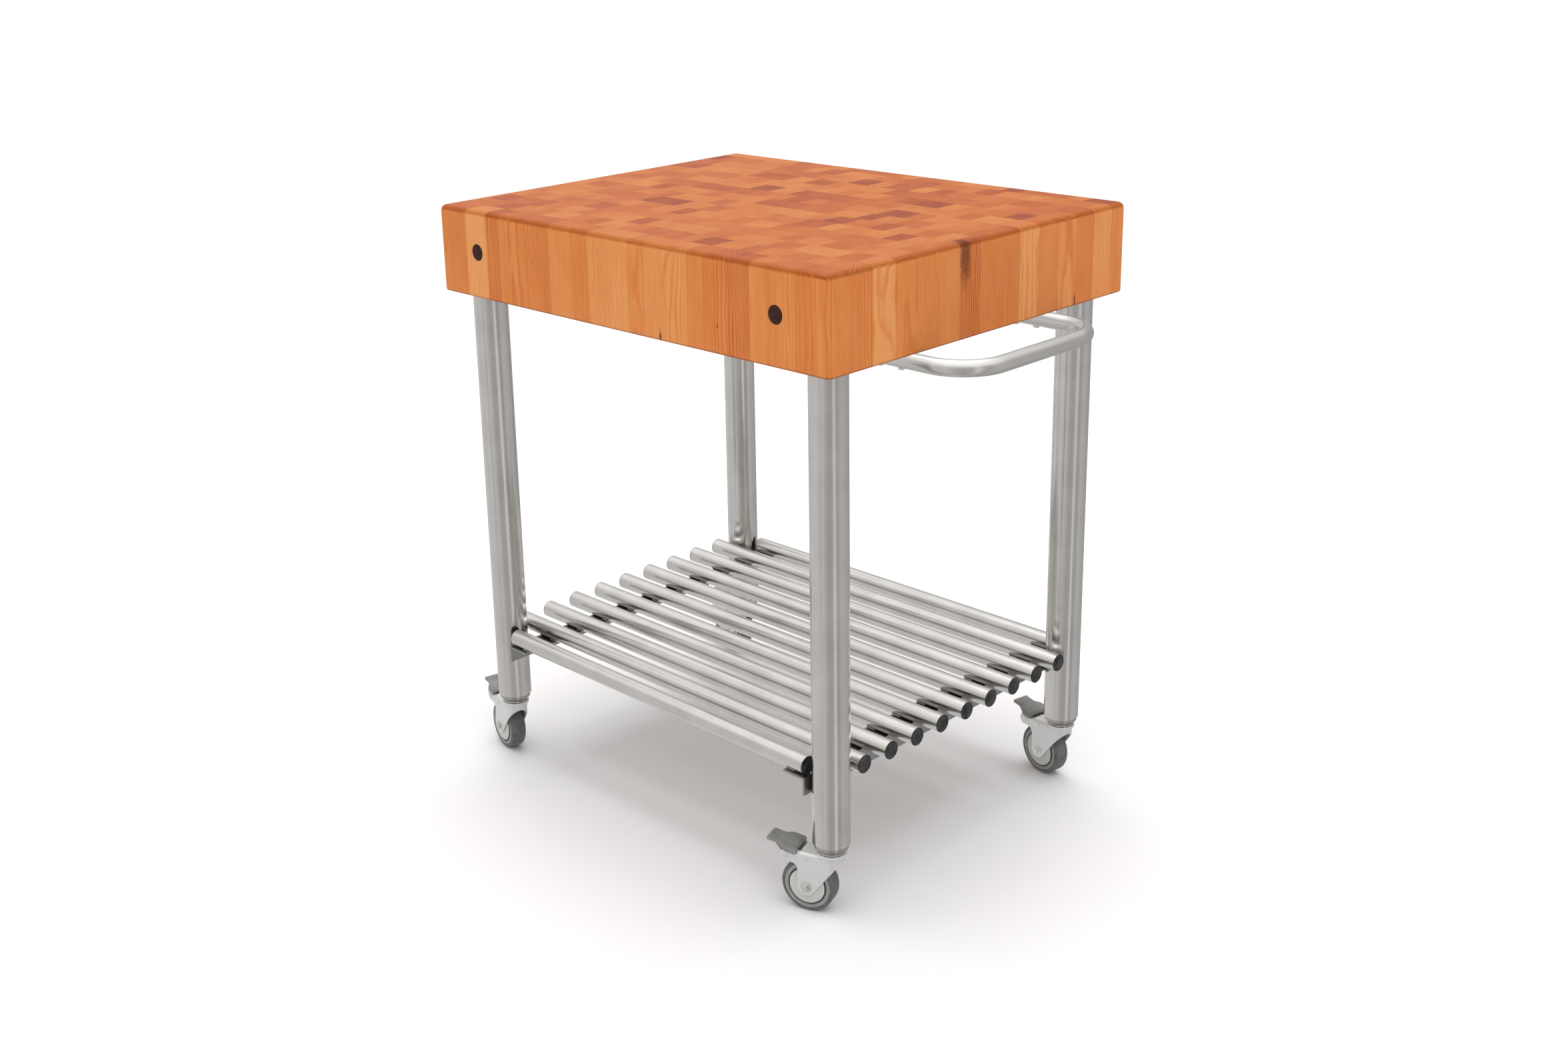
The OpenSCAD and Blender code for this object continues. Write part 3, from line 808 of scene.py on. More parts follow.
def facing_instances(graph: Graph, seeds: Signal, instance: Signal) -> Signal:
    """Puts an instance at each point, its Z axis along the point's facing."""
    facing = graph.node("GeometryNodeInputNamedAttribute", {"data_type": "FLOAT_VECTOR"},
                        {"Name": "facing"})["Attribute"]
    turned = graph.node("FunctionNodeAlignRotationToVector", {"axis": "Z"},
                        {"Vector": facing})["Rotation"]
    return graph.node("GeometryNodeInstanceOnPoints", {},
                      {"Points": seeds, "Instance": instance, "Rotation": turned})[0]


def squeezed(graph: Graph, shape: Signal, scale: Signal, lift: Optional[Signal] = None) -> Signal:
    """Returns a shape scaled, and moved up its Z axis where lift is given."""
    inputs = {"Geometry": shape, "Scale": scale}
    if lift is not None:
        inputs["Translation"] = graph.vector(0.0, 0.0, lift)
    return graph.node("GeometryNodeTransform", {}, inputs)[0]


def joined(graph: Graph, *shapes: Signal) -> Signal:
    """Returns the shapes as one geometry."""
    made = graph.node("GeometryNodeJoinGeometry")
    for shape in shapes:
        graph.tree.links.new(shape.socket, made.node.inputs[0])
    return made[0]


def smooth_ball(graph: Graph, segments: int) -> Signal:
    """Returns a smooth ball of radius 1."""
    inputs = {"Segments": segments, "Rings": segments // 2, "Radius": 1.0}
    return smooth(graph, graph.node("GeometryNodeMeshUVSphere", {}, inputs)["Mesh"])


def smooth(graph: Graph, shape: Signal) -> Signal:
    """Returns the shape shaded smooth."""
    return graph.node("GeometryNodeSetShadeSmooth", {}, {0: shape})[0]


def cut(graph: Graph, shape: Signal, tool: Signal) -> Signal:
    """Returns the shape with the tool cut away."""
    return graph.node("GeometryNodeMeshBoolean", {"operation": "DIFFERENCE", "solver": "EXACT"},
                      {"Mesh 1": shape, "Mesh 2": tool})["Mesh"]


def domes(name: str, seeds: Any, radius: float, rim: float, dome: float,
          finish: Finish) -> Any:
    """Makes a domed disc with a chamfered rim at each seed point.

    Args:
        name: the piece's name.
        seeds: points that face outwards.
        radius: the rim's radius.
        rim: the rim's thickness.
        dome: how far the dome stands above its base.
        finish: what it is made of.

    Returns:
        The piece.
    """
    pattern = Pattern(name, {"Radius": radius, "Rim": rim, "Dome": dome})
    graph, inputs = pattern.graph, pattern.inputs
    wall = graph.node("GeometryNodeMeshCone", {}, {
        "Vertices": 48, "Radius Top": inputs["Radius"], "Radius Bottom": inputs["Radius"] * 0.98,
        "Depth": inputs["Rim"] * 0.65})["Mesh"]
    lift = inputs["Rim"] * 0.65
    slope = graph.node("GeometryNodeMeshCone", {}, {
        "Vertices": 48, "Radius Top": inputs["Radius"] * 0.93, "Radius Bottom": inputs["Radius"],
        "Depth": inputs["Rim"] * 0.35})["Mesh"]
    slope = squeezed(graph, slope, graph.vector(1.0, 1.0, 1.0), lift)
    wide = inputs["Radius"] * 0.86
    ball = squeezed(graph, smooth_ball(graph, 48), graph.vector(wide, wide, inputs["Dome"]))
    shape = joined(graph, wall, slope, ball)
    pattern.finish(facing_instances(graph, inputs["Geometry"], shape), finish)
    return pattern.grow(name, seeds)


def weld_beads(name: str, lines: Sequence[tuple[Vector, Vector]], width: float) -> Any:
    """Makes rippled weld beads along lines.

    Args:
        name: the piece's name.
        lines: the start and end of each bead.
        width: the bead's width.

    Returns:
        The piece.
    """
    pattern = Pattern(name, {"Width": width, "Step": width * 0.34})
    graph, inputs = pattern.graph, pattern.inputs
    curve = graph.node("GeometryNodeMeshToCurve", {}, {0: inputs["Geometry"]})[0]
    points = graph.node("GeometryNodeCurveToPoints", {"mode": "LENGTH"},
                        {"Curve": curve, "Length": inputs["Step"]})
    drop = graph.node("GeometryNodeMeshIcoSphere", {}, {"Subdivisions": 2, "Radius": 0.5})["Mesh"]
    drop = squeezed(graph, smooth(graph, drop), graph.vector(1.0, 1.0, 0.62))
    size = graph.node("FunctionNodeRandomValue", {"data_type": "FLOAT"},
                      {"Min": 0.86, "Max": 1.08, "Seed": 7})[1]
    beads = graph.node("GeometryNodeInstanceOnPoints", {}, {
        "Points": points["Points"], "Instance": drop, "Rotation": points["Rotation"],
        "Scale": inputs["Width"] * size})[0]
    pattern.finish(beads, BRIGHT)
    ends = [point for line in lines for point in line]
    pairs = [(i, i + 1) for i in range(0, len(ends), 2)]
    return pattern.grow(name, seed_mesh("lines", ends, pairs))


# ------------------------------------------------------------- sub-assemblies


def box_size(node: str) -> tuple[Vector, Vector]:
    """Returns a CAD node's middle and size."""
    low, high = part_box(node)
    return (low + high) / 2.0, high - low


def stand_in(piece: Any, body: str, slot: str, *nodes: str) -> None:
    """Puts a piece on its body, in place of the CAD nodes that it stands for.

    Args:
        piece: the piece.
        body: the body that it rides on.
        slot: the name of a material slot in the record; not used.
        nodes: the CAD nodes that it replaces.
    """
    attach(piece, body)
    if nodes:
        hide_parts(*nodes)
    LOG.info("%s on %s: %d faces", piece.name, body, len(piece.data.polygons))


def dress_nodes(finish: Finish, nodes: Iterable[str]) -> None:
    """Gives CAD nodes a finish and reports them."""
    for node in nodes:
        dress(frame["nodes"][node], finish)
        LOG.info("%s: %s", node, finish.title())


@dataclass
class ButcherBlock:
    """The end grain block, with rounded edges and four dark plugs."""

    edge: float = 9.0 * MM
    under_edge: float = 4.0 * MM
    corner: float = 9.0 * MM
    steps: int = 8
    pocket: float = 3.0 * MM
    plug_rim: float = 1.0 * MM
    plug_dome: float = 1.35 * MM
    plug_gap: float = 0.1 * MM
    row_width: float = 41.4 * MM
    first_joint: float = 37.5 * MM
    stave: float = 37.5 * MM
    ring_pitch: float = 2.6 * MM

    def __post_init__(self) -> None:
        """Reads the block's and the plugs' places from the frame."""
        self.middle, self.size = box_size("butcher_block")
        plugs_middle, plugs_size = box_size("rod_hole_plugs")
        self.plug_r = plugs_size.z / 2.0
        reach = plugs_size.x / 2.0 - self.plug_r
        self.plug_faces = [
            (Vector((plugs_middle.x + x * reach, y * self.size.y / 2.0, plugs_middle.z)),
             Vector((0.0, y, 0.0)))
            for x in (-1.0, 1.0) for y in (-1.0, 1.0)
        ]

    def finish(self) -> EndGrainMaple:
        """Returns the wood, with this block's own staves and marks."""
        left, front = self.middle.x, -self.size.y / 2.0
        right = left + self.size.x / 2.0
        bottom, top = self.middle.z - self.size.z / 2.0, self.middle.z + self.size.z / 2.0
        streaks = tuple(Streak(*row) for row in (
            ((left + 0.088, front, bottom + 0.004), (0.0020, 0.008, 0.015), 1.0),
            ((left + 0.194, front, top - 0.090), (0.0022, 0.004, 0.0035), 0.75),
            ((left - 0.170, front, top - 0.058), (0.0016, 0.004, 0.0050), 0.45),
            ((right, 0.188, bottom + 0.006), (0.010, 0.0022, 0.016), 0.9),
            ((right, -0.050, top - 0.018), (0.030, 0.014, 0.050), 0.66),
            ((left - 0.062, 0.165, top), (0.013, 0.006, 0.02), 0.28),
            ((left + 0.150, -0.046, top), (0.011, 0.008, 0.02), 0.30),
        ))
        marked = tuple(MarkedStave(*row) for row in (
            (-0.278, -0.290, 0.02), (-0.0625, 0.165, 0.62), (0.155, -0.046, 0.70),
            (-0.142, 0.040, 0.58), (0.081, 0.246, 0.56), (-0.005, 0.079, 0.64),
            (0.292, -0.091, 0.68), (0.282, -0.216, 0.04), (0.177, -0.091, 0.05),
            (0.335, 0.078, 0.06), (0.3805, -0.040, 0.62), (0.3805, 0.085, 0.10),
            (0.3805, 0.210, 0.48), (0.3805, -0.205, 0.10), (0.3805, 0.040, 0.46),
            (0.3805, -0.160, 0.38), (0.000, -0.290, 0.14), (-0.340, -0.290, 0.42),
            (0.040, -0.290, 0.30), (0.074, -0.290, 0.22),
        ))
        return EndGrainMaple(self.row_width, front + self.first_joint, self.stave, left,
                             self.ring_pitch, streaks, marked)

    def _levels(self) -> list[tuple[float, float]]:
        """Returns the height and inset of each outline, from the underside up."""
        quarter = [math.pi / 2.0 * i / self.steps for i in range(self.steps + 1)]
        under, top = self.under_edge, self.edge
        low = [(under * (1.0 - math.cos(a)), under * (1.0 - math.sin(a))) for a in quarter]
        high = [(self.size.z - top + top * math.sin(a), top * (1.0 - math.cos(a)))
                for a in quarter]
        return low + high

    def _outline(self, inset: float, height: float) -> list[Vector]:
        """Returns a rounded rectangle at this height above the underside."""
        radius = self.corner - inset
        reach_x = self.size.x / 2.0 - inset - radius
        reach_y = self.size.y / 2.0 - inset - radius
        points = []
        for turn, (x, y) in enumerate(((1, 1), (-1, 1), (-1, -1), (1, -1))):
            for bend_x, bend_y in arc((x * reach_x, y * reach_y), radius, 90.0 * turn,
                                      90.0 * turn + 90.0, self.steps):
                points.append(Vector((self.middle.x + bend_x, self.middle.y + bend_y,
                                      self.middle.z - self.size.z / 2.0 + height)))
        return points

    def build(self) -> Any:
        """Makes the block, with a shallow pocket for each plug.

        Returns:
            The block.
        """
        mesh = bmesh.new()
        loops = [[mesh.verts.new(p) for p in self._outline(inset, height)]
                 for height, inset in self._levels()]
        skin(mesh, loops)
        mesh.faces.new(loops[0][::-1])
        mesh.faces.new(loops[-1])
        bmesh.ops.dissolve_degenerate(mesh, edges=mesh.edges, dist=1e-6)
        block = new_piece("block_shell", outward(mesh), 60.0)
        cutter = self._cutter()
        cut = block.modifiers.new("plug pockets", "BOOLEAN")
        cut.object = cutter
        cut.solver = "EXACT"
        even = block.modifiers.new("flat faces", "WEIGHTED_NORMAL")
        even.keep_sharp = True
        block = baked(block, "end_grain_block")
        bpy.data.objects.remove(cutter)
        dress(block, self.finish())
        block.visible_glossy = False
        stand_in(block, "table", "maple", "butcher_block")
        return block

    def _cutter(self) -> Any:
        """Returns the round cutters for the plugs' pockets."""
        mesh = bmesh.new()
        for face, facing in self.plug_faces:
            place = Matrix.Translation(face) @ facing.to_track_quat("Z", "Y").to_matrix().to_4x4()
            lathe(mesh, [(0.0, -self.pocket), (self.plug_r + self.plug_gap, -self.pocket),
                         (self.plug_r + self.plug_gap, self.pocket), (0.0, self.pocket)], place)
        return new_piece("plug_cutter", outward(mesh))

    def build_plugs(self) -> Any:
        """Makes the plugs, flush with the faces and with a fine rim.

        Returns:
            The plugs, as one piece.
        """
        sink = self.plug_dome + self.plug_gap
        points = [face - facing * sink for face, facing in self.plug_faces]
        facings = [facing for _, facing in self.plug_faces]
        plugs = domes("walnut_plugs", seed_points(points, facings), self.plug_r, self.plug_rim,
                      self.plug_dome, DarkWalnut())
        stand_in(plugs, "table", "walnut", "rod_hole_plugs")
        return plugs

    def dress_hidden(self) -> None:
        """Dresses the fasteners inside the block."""
        dress_nodes(ZINC, ["tie_rods", "tie_rod_washers", "tie_rod_nuts"])
        dress_nodes(BRASS, ["leg_thread_inserts"])


@dataclass
class LegFrame:
    """The four legs and the shelf of tubes on two angle rails."""

    long_tubes: int = 9
    bead: float = 2.6 * MM
    weld_length: float = 11.0 * MM
    weld_start: float = 2.0 * MM
    tube_weld: float = 4.2 * MM
    leg_weld: float = 4.5 * MM
    leg_weld_inset: float = 1.5 * MM
    cap_rim: float = 1.3 * MM
    cap_dome: float = 2.4 * MM
    cup_share: float = 0.403
    stem_bore: float = 6.1 * MM

    def __post_init__(self) -> None:
        """Lists the names of the tubes and the rails."""
        self.tubes = [f"shelf_tube_{i:02d}" for i in range(1, self.long_tubes + 3)]
        self.rails = ["shelf_rail_left", "shelf_rail_right"]

    def dress(self) -> None:
        """Dresses the legs and tubes with lines along each of them, and the rails in a dark steel
        that is painted shade.
        """
        dress_nodes(DrawnSteel(Axis.Z), [f"leg_{corner.value}" for corner in Corner])
        dress_nodes(DrawnSteel(Axis.X), self.tubes)
        # The rails take a dark steel as painted shade.
        dress_nodes(RAIL_PAINTED_SHADE, self.rails)
        dress_nodes(ZINC, ["leg_top_studs"])
        dress_nodes(RIM, ["leg_bottom_plugs"])

    def build_caps(self) -> Any:
        """Makes the domed caps in the tubes' ends.

        Returns:
            The caps, as one piece.
        """
        points, facings = [], []
        for tube in self.tubes:
            middle, size = box_size(tube)
            for side in (-1.0, 1.0):
                facing = Vector((side, 0.0, 0.0))
                points.append(middle + facing * size.x / 2.0)
                facings.append(facing)
        radius = box_size(self.tubes[0])[1].z / 2.0
        caps = domes("tube_end_caps", seed_points(points, facings), radius, self.cap_rim,
                     self.cap_dome, BLACK_CAP)
        stand_in(caps, "table", "black_plastic", "shelf_tube_caps")
        return caps

    def build_welds(self) -> Any:
        """Makes the weld beads that hold the tubes and the legs to the rails.

        Returns:
            The beads, as one piece.
        """
        lines = []
        for rail, side in zip(self.rails, (-1.0, 1.0)):
            middle, size = box_size(rail)
            top = middle.z + size.z / 2.0
            inner = middle.x - side * size.x / 2.0
            outer = middle.x + side * size.x / 2.0
            for tube in self.tubes:
                y = box_size(tube)[0].y
                for across in (-1.0, 1.0):
                    start = Vector((inner + side * self.weld_start,
                                    y + across * self.tube_weld, top))
                    lines.append((start, start + Vector((side * self.weld_length, 0.0, 0.0))))
            for front in (-1.0, 1.0):
                leg = box_size("leg_front_left" if front < 0 else "leg_back_left")[0]
                for across in (-1.0, 1.0):
                    start = Vector((outer, leg.y + across * self.leg_weld,
                                    top - self.leg_weld_inset))
                    fall = size.z - 2.0 * self.leg_weld_inset
                    lines.append((start, start - Vector((0.0, 0.0, fall))))
        beads = weld_beads("shelf_weld_beads", lines, self.bead)
        stand_in(beads, "table", "stainless")
        return beads

    def build_races(self) -> Any:
        """Makes the polished cups under the legs that the swivels turn in, with the narrow neck
        under the flare painted near-black as shadow.

        Returns:
            The cups, as one piece.
        """
        middle, size = box_size("swivel_upper_races")
        low, high = middle.z - size.z / 2.0, middle.z + size.z / 2.0
        radius = box_size("leg_front_left")[1].x * self.cup_share
        bore = self.stem_bore
        outline = [(bore, low + 1.0 * MM), (radius - 0.8 * MM, low + 1.0 * MM),
                   (radius - 0.4 * MM, low), (radius, low + 0.2 * MM),
                   (radius - 0.2 * MM, low + 0.8 * MM), (radius - 1.4 * MM, low + 1.5 * MM),
                   (radius - 2.6 * MM, low + 2.2 * MM), (radius - 3.0 * MM, low + 3.0 * MM),
                   (radius - 2.8 * MM, high - 0.5 * MM), (radius - 2.0 * MM, high),
                   (bore, high)]
        # Slot 1, the narrow neck between the flare and the leg, takes the near-black steel as
        # painted shadow.
        slots = [0] * 6 + [1] * 2 + [0] * 3
        mesh = bmesh.new()
        for corner in Corner:
            leg = box_size(f"leg_{corner.value}")[0]
            lathe(mesh, outline, Matrix.Translation((leg.x, leg.y, 0.0)), slots)
        races = new_piece("swivel_cups", outward(mesh), 40.0)
        dress(races, CHROME, CUP_NECK_PAINTED_SHADOW)
        stand_in(races, "table", "chrome_steel", "swivel_upper_races")
        return races


@dataclass(frozen=True)
class BentSteel(Finish):
    """Stainless tube whose fine lines follow its bends."""

    colour: Colour = (0.66, 0.64, 0.61)

    def title(self) -> str:
        """Returns the material's name."""
        return "bent_stainless_tube"

    def surface(self, graph: Graph) -> dict[str, Any]:
        """Returns the Principled shader's inputs."""
        around = graph.node("ShaderNodeAttribute", {"attribute_name": "around"})["Vector"]
        along = graph.node("ShaderNodeAttribute", {"attribute_name": "along"})["Fac"]
        ring = graph.parts(around)
        lines = graph.noise(graph.vector(ring["X"] * 1400.0, ring["Y"] * 1400.0, along * 5.0),
                            1.0, 2.0)
        streaks = graph.noise(graph.vector(ring["X"] * 260.0, ring["Y"] * 260.0, along * 4.0),
                              1.0, 3.0)
        smudges = graph.noise(self.place(graph), 30.0, 3.0)
        dark = tuple(part * 0.82 for part in self.colour)
        return {
            "Base Color": graph.mix(streaks.fade(0.3, 0.7), dark, self.colour),
            "Metallic": 1.0,
            "Roughness": 0.24 + (lines - 0.5) * 0.1 + (smudges - 0.5) * 0.14,
            "Normal": graph.bump(lines * 0.5 + streaks, 0.00006),
        }


@dataclass
class TowelBar:
    """The bent tube at the block's end, with four screws."""

    radius: float = 11.1 * MM
    wall: float = 1.5 * MM
    bend: float = 62.0 * MM
    open_end: float = 40.0 * MM
    head_r: float = 5.0 * MM
    head_h: float = 3.5 * MM
    slot_w: float = 1.3 * MM
    slot_l: float = 5.6 * MM

    def __post_init__(self) -> None:
        """Reads the bar's place from the frame."""
        self.low, self.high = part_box("towel_bar")
        self.z = (self.low.z + self.high.z) / 2.0
        self.half = (self.high.y - self.low.y) / 2.0 - self.radius

    def build(self) -> Any:
        """Makes the bar by a sweep along its path.

        Returns:
            The bar.
        """
        pattern = Pattern("bent_bar", {"Radius": self.radius, "Bore": self.radius - self.wall,
                                       "Bend": self.bend, "Depth": self.open_end})
        graph, inputs = pattern.graph, pattern.inputs
        curve = graph.node("GeometryNodeMeshToCurve", {}, {0: inputs["Geometry"]})[0]
        curve = graph.node("GeometryNodeFilletCurve", {"mode": "POLY"},
                           {"Curve": curve, "Radius": inputs["Bend"], "Count": 18,
                            "Limit Radius": True})[0]
        length = graph.node("GeometryNodeSplineParameter")["Length"]
        curve = self._kept(graph, curve, "FLOAT", "along", length)
        ring = graph.node("GeometryNodeCurvePrimitiveCircle", {},
                          {"Resolution": 56, "Radius": inputs["Radius"]})[0]
        spot = graph.node("GeometryNodeInputPosition")[0]
        ring = self._kept(graph, ring, "FLOAT_VECTOR", "around", spot)
        tube = graph.node("GeometryNodeCurveToMesh", {},
                          {"Curve": curve, "Profile Curve": ring, "Fill Caps": True})[0]
        bore = graph.node("GeometryNodeMeshCylinder", {}, {
            "Vertices": 40, "Radius": inputs["Bore"], "Depth": inputs["Depth"] * 2.0})["Mesh"]
        for side in (-1.0, 1.0):
            cutter = graph.node("GeometryNodeTransform", {}, {
                "Geometry": bore, "Translation": (self.low.x, side * self.half, self.z),
                "Rotation": (0.0, math.pi / 2.0, 0.0)})[0]
            tube = cut(graph, tube, cutter)
        pattern.finish(tube, BentSteel())
        path = [Vector((x, y * self.half, self.z)) for x, y in (
            (self.low.x, -1.0), (self.high.x - self.radius, -1.0),
            (self.high.x - self.radius, 1.0), (self.low.x, 1.0))]
        seeds = seed_mesh("bar_path", path, [(0, 1), (1, 2), (2, 3)])
        bar = pattern.grow("bent_towel_bar", seeds)
        bar.data.shade_smooth()
        bar.data.set_sharp_from_angle(angle=math.radians(40.0))
        stand_in(bar, "table", "stainless", "towel_bar")
        return bar

    @staticmethod
    def _kept(graph: Graph, shape: Signal, kind: str, name: str, value: Signal) -> Signal:
        """Returns the shape with a value kept on its points."""
        return graph.node("GeometryNodeStoreNamedAttribute",
                          {"data_type": kind, "domain": "POINT"},
                          {"Geometry": shape, "Name": name, "Value": value})[0]

    def build_screws(self) -> Any:
        """Makes the screws' domed heads, each with a cross recess.

        Returns:
            The screws, as one piece.
        """
        middle, size = box_size("towel_bar_screws")
        reach_x = size.x / 2.0 - self.head_r
        reach_y = size.y / 2.0 - self.head_r
        under = self.low.z
        points = [Vector((middle.x + x * reach_x, middle.y + y * reach_y, under))
                  for x in (-1.0, 1.0) for y in (-1.0, 1.0)]
        pattern = Pattern("cross_head_screw", {
            "Head radius": self.head_r, "Head height": self.head_h * 0.93,
            "Slot width": self.slot_w, "Slot length": self.slot_l})
        graph, inputs = pattern.graph, pattern.inputs
        radius, height = inputs["Head radius"], inputs["Head height"]
        head = squeezed(graph, smooth_ball(graph, 32), graph.vector(radius, radius, height))
        size_a = graph.vector(inputs["Slot length"], inputs["Slot width"], height)
        size_b = graph.vector(inputs["Slot width"], inputs["Slot length"], height)
        lift = graph.vector(0.0, 0.0, height * 0.95)
        for slot_size in (size_a, size_b):
            slot = graph.node("GeometryNodeMeshCube", {}, {"Size": slot_size})["Mesh"]
            slot = graph.node("GeometryNodeTransform", {},
                              {"Geometry": slot, "Translation": lift})[0]
            head = cut(graph, head, slot)
        pattern.finish(facing_instances(graph, inputs["Geometry"], head), ZINC)
        down = [Vector((0.0, 0.0, -1.0))] * len(points)
        screws = pattern.grow("bar_screw_heads", seed_points(points, down))
        stand_in(screws, "table", "zinc_steel", "towel_bar_screws")
        return screws


@dataclass
class Caster:
    """One swivel caster with a brake pedal. Its own X axis points from the swivel to the wheel."""

    corner: Corner
    cheek_in: float = 14.5 * MM
    cheek_out: float = 17.0 * MM
    tread_in: float = 28.05 * MM
    light_ring: float = 32.2 * MM
    half_w: float = 12.5 * MM
    shoulder: float = 4.5 * MM
    cover_r: float = 25.0 * MM
    cover_out: float = 13.8 * MM
    cover_in: float = 12.0 * MM
    sleeve_r: float = 6.0 * MM
    bolt_r: float = 4.0 * MM
    rivet_r: float = 3.6 * MM
    pin_r: float = 2.5 * MM
    pedal_l: float = 46.0 * MM
    pedal_w: float = 39.0 * MM
    tip_w: float = 27.0 * MM
    pedal_t: float = 4.0 * MM
    pedal_ahead: float = 16.0 * MM
    pedal_over: float = 11.634 * MM
    skirt: float = 4.4 * MM
    skirt_wall: float = 2.0 * MM
    tilt: float = math.radians(9.0)
    groove_depth: float = 0.45 * MM
    eye_r: float = 4.7 * MM
    arm_short: float = 12.0 * MM
    arm_half: float = 12.0 * MM
    cam_half: float = 11.0 * MM
    cam_r: float = 2.5 * MM
    cam_gap: float = 0.4 * MM
    cam_turn: float = math.radians(20.0)
    flange_r: float = 8.0 * MM
    hex_flats: float = 8.8 * MM
    head_h: float = 3.6 * MM
    nut_h: float = 4.0 * MM

    def __post_init__(self) -> None:
        """Reads the swivel, wheel and pin places from the joints."""
        self.name = self.corner.value
        joints = {joint["name"]: joint for joint in frame["joints"]}
        swivel = Vector(joints[f"swivel_{self.name}"]["pos_m"])
        wheel = Vector(joints[f"wheel_spin_{self.name}"]["pos_m"])
        pin = Vector(joints[f"brake_{self.name}"]["pos_m"])
        swivel.z = 0.0
        angle = math.atan2(wheel.y - swivel.y, wheel.x - swivel.x)
        self.place = Matrix.Translation(swivel) @ Matrix.Rotation(angle, 4, "Z")
        back = self.place.inverted()
        self.wheel, self.pin = back @ wheel, back @ pin
        self.wheel_r = wheel.z

    def turned(self, spot: Vector) -> Matrix:
        """Returns the place of a turned shape whose axis runs across the caster."""
        return self.place @ Matrix.Translation(spot) @ Matrix.Rotation(math.pi / 2.0, 4, "X")

    def build_wheel(self) -> None:
        """Makes the tread, the core and the two cover discs."""
        w, shoulder = self.half_w, self.shoulder
        place = self.turned(self.wheel)
        bend = arc((self.wheel_r - shoulder, -w + shoulder), shoulder, -90.0, 0.0, 8)
        side = [(self.tread_in, -w + 1.5 * MM), (self.tread_in + 0.4 * MM, -w + 0.7 * MM),
                (self.light_ring - 0.3 * MM, -w + 0.35 * MM), (self.light_ring, -w + 0.6 * MM),
                (self.light_ring + 0.35 * MM, -w)]
        half = side + bend
        outline = half + [(r, -h) for r, h in reversed(half)]
        light = [1] * 3
        slots = light + [0] * (len(outline) - 7) + light + [0]
        mesh = bmesh.new()
        lathe(mesh, outline, place, slots)
        tread = new_piece(f"wheel_tread_{self.name}", outward(mesh), 40.0)
        dress(tread, RUNNING_FACE, SIDEWALL)
        stand_in(tread, f"wheel_{self.name}", "grey_tread", f"tread_{self.name}")
        self._build_core(place)
        self._build_covers(place)

    def _build_core(self, place: Matrix) -> None:
        """Makes the core: a nave, a web and a rim with a groove inside its edge; the groove and
        the rim's inner wall are painted near-black as the shadow under the cover's edge.
        """
        w, bore = self.half_w - 1.2 * MM, self.sleeve_r + 0.05 * MM
        nave, rim = bore + 5.0 * MM, self.tread_in - 4.05 * MM
        half = [(bore, -w), (nave, -w), (nave + 0.6 * MM, -2.0 * MM), (rim, -2.0 * MM),
                (rim, -w), (rim + 2.9 * MM, -w), (rim + 3.2 * MM, -w - 0.5 * MM),
                (self.tread_in - 0.05 * MM, -w - 0.5 * MM)]
        outline = half + [(r, -h) for r, h in reversed(half)]
        # Slot 1 is near-black, painted shadow under the cover disc's edge.
        one_side = [0, 0, 0, 1, 1, 1, 2]
        mesh = bmesh.new()
        lathe(mesh, outline, place, one_side + [2] + one_side[::-1] + [0])
        core = new_piece(f"wheel_core_{self.name}", outward(mesh), 40.0)
        dress(core, CORE, PAINTED_GAP_SHADOW, SIDEWALL)
        stand_in(core, f"wheel_{self.name}", "grey_plastic", f"core_{self.name}")

    def _build_covers(self, place: Matrix) -> None:
        """Makes the two cover discs, a little domed."""
        hole, edge, out = self.sleeve_r + 1.3 * MM, self.cover_r, self.cover_out
        outline = [(hole, self.cover_in), (edge - 0.4 * MM, self.cover_in),
                   (edge, self.cover_in + 0.3 * MM), (edge, self.cover_in + 0.6 * MM),
                   (edge - 0.5 * MM, self.cover_in + 1.0 * MM),
                   (edge - 2.2 * MM, out - 0.55 * MM), (edge - 6.0 * MM, out - 0.3 * MM),
                   (edge - 12.0 * MM, out - 0.08 * MM), (hole + 0.6 * MM, out),
                   (hole, out - 0.5 * MM)]
        mesh = bmesh.new()
        for turn in (0.0, math.pi):
            lathe(mesh, outline, place @ Matrix.Rotation(turn, 4, "X"))
        covers = new_piece(f"wheel_covers_{self.name}", outward(mesh), 50.0)
        dress(covers, COVER)
        stand_in(covers, f"wheel_{self.name}", "white_plastic", f"covers_{self.name}")

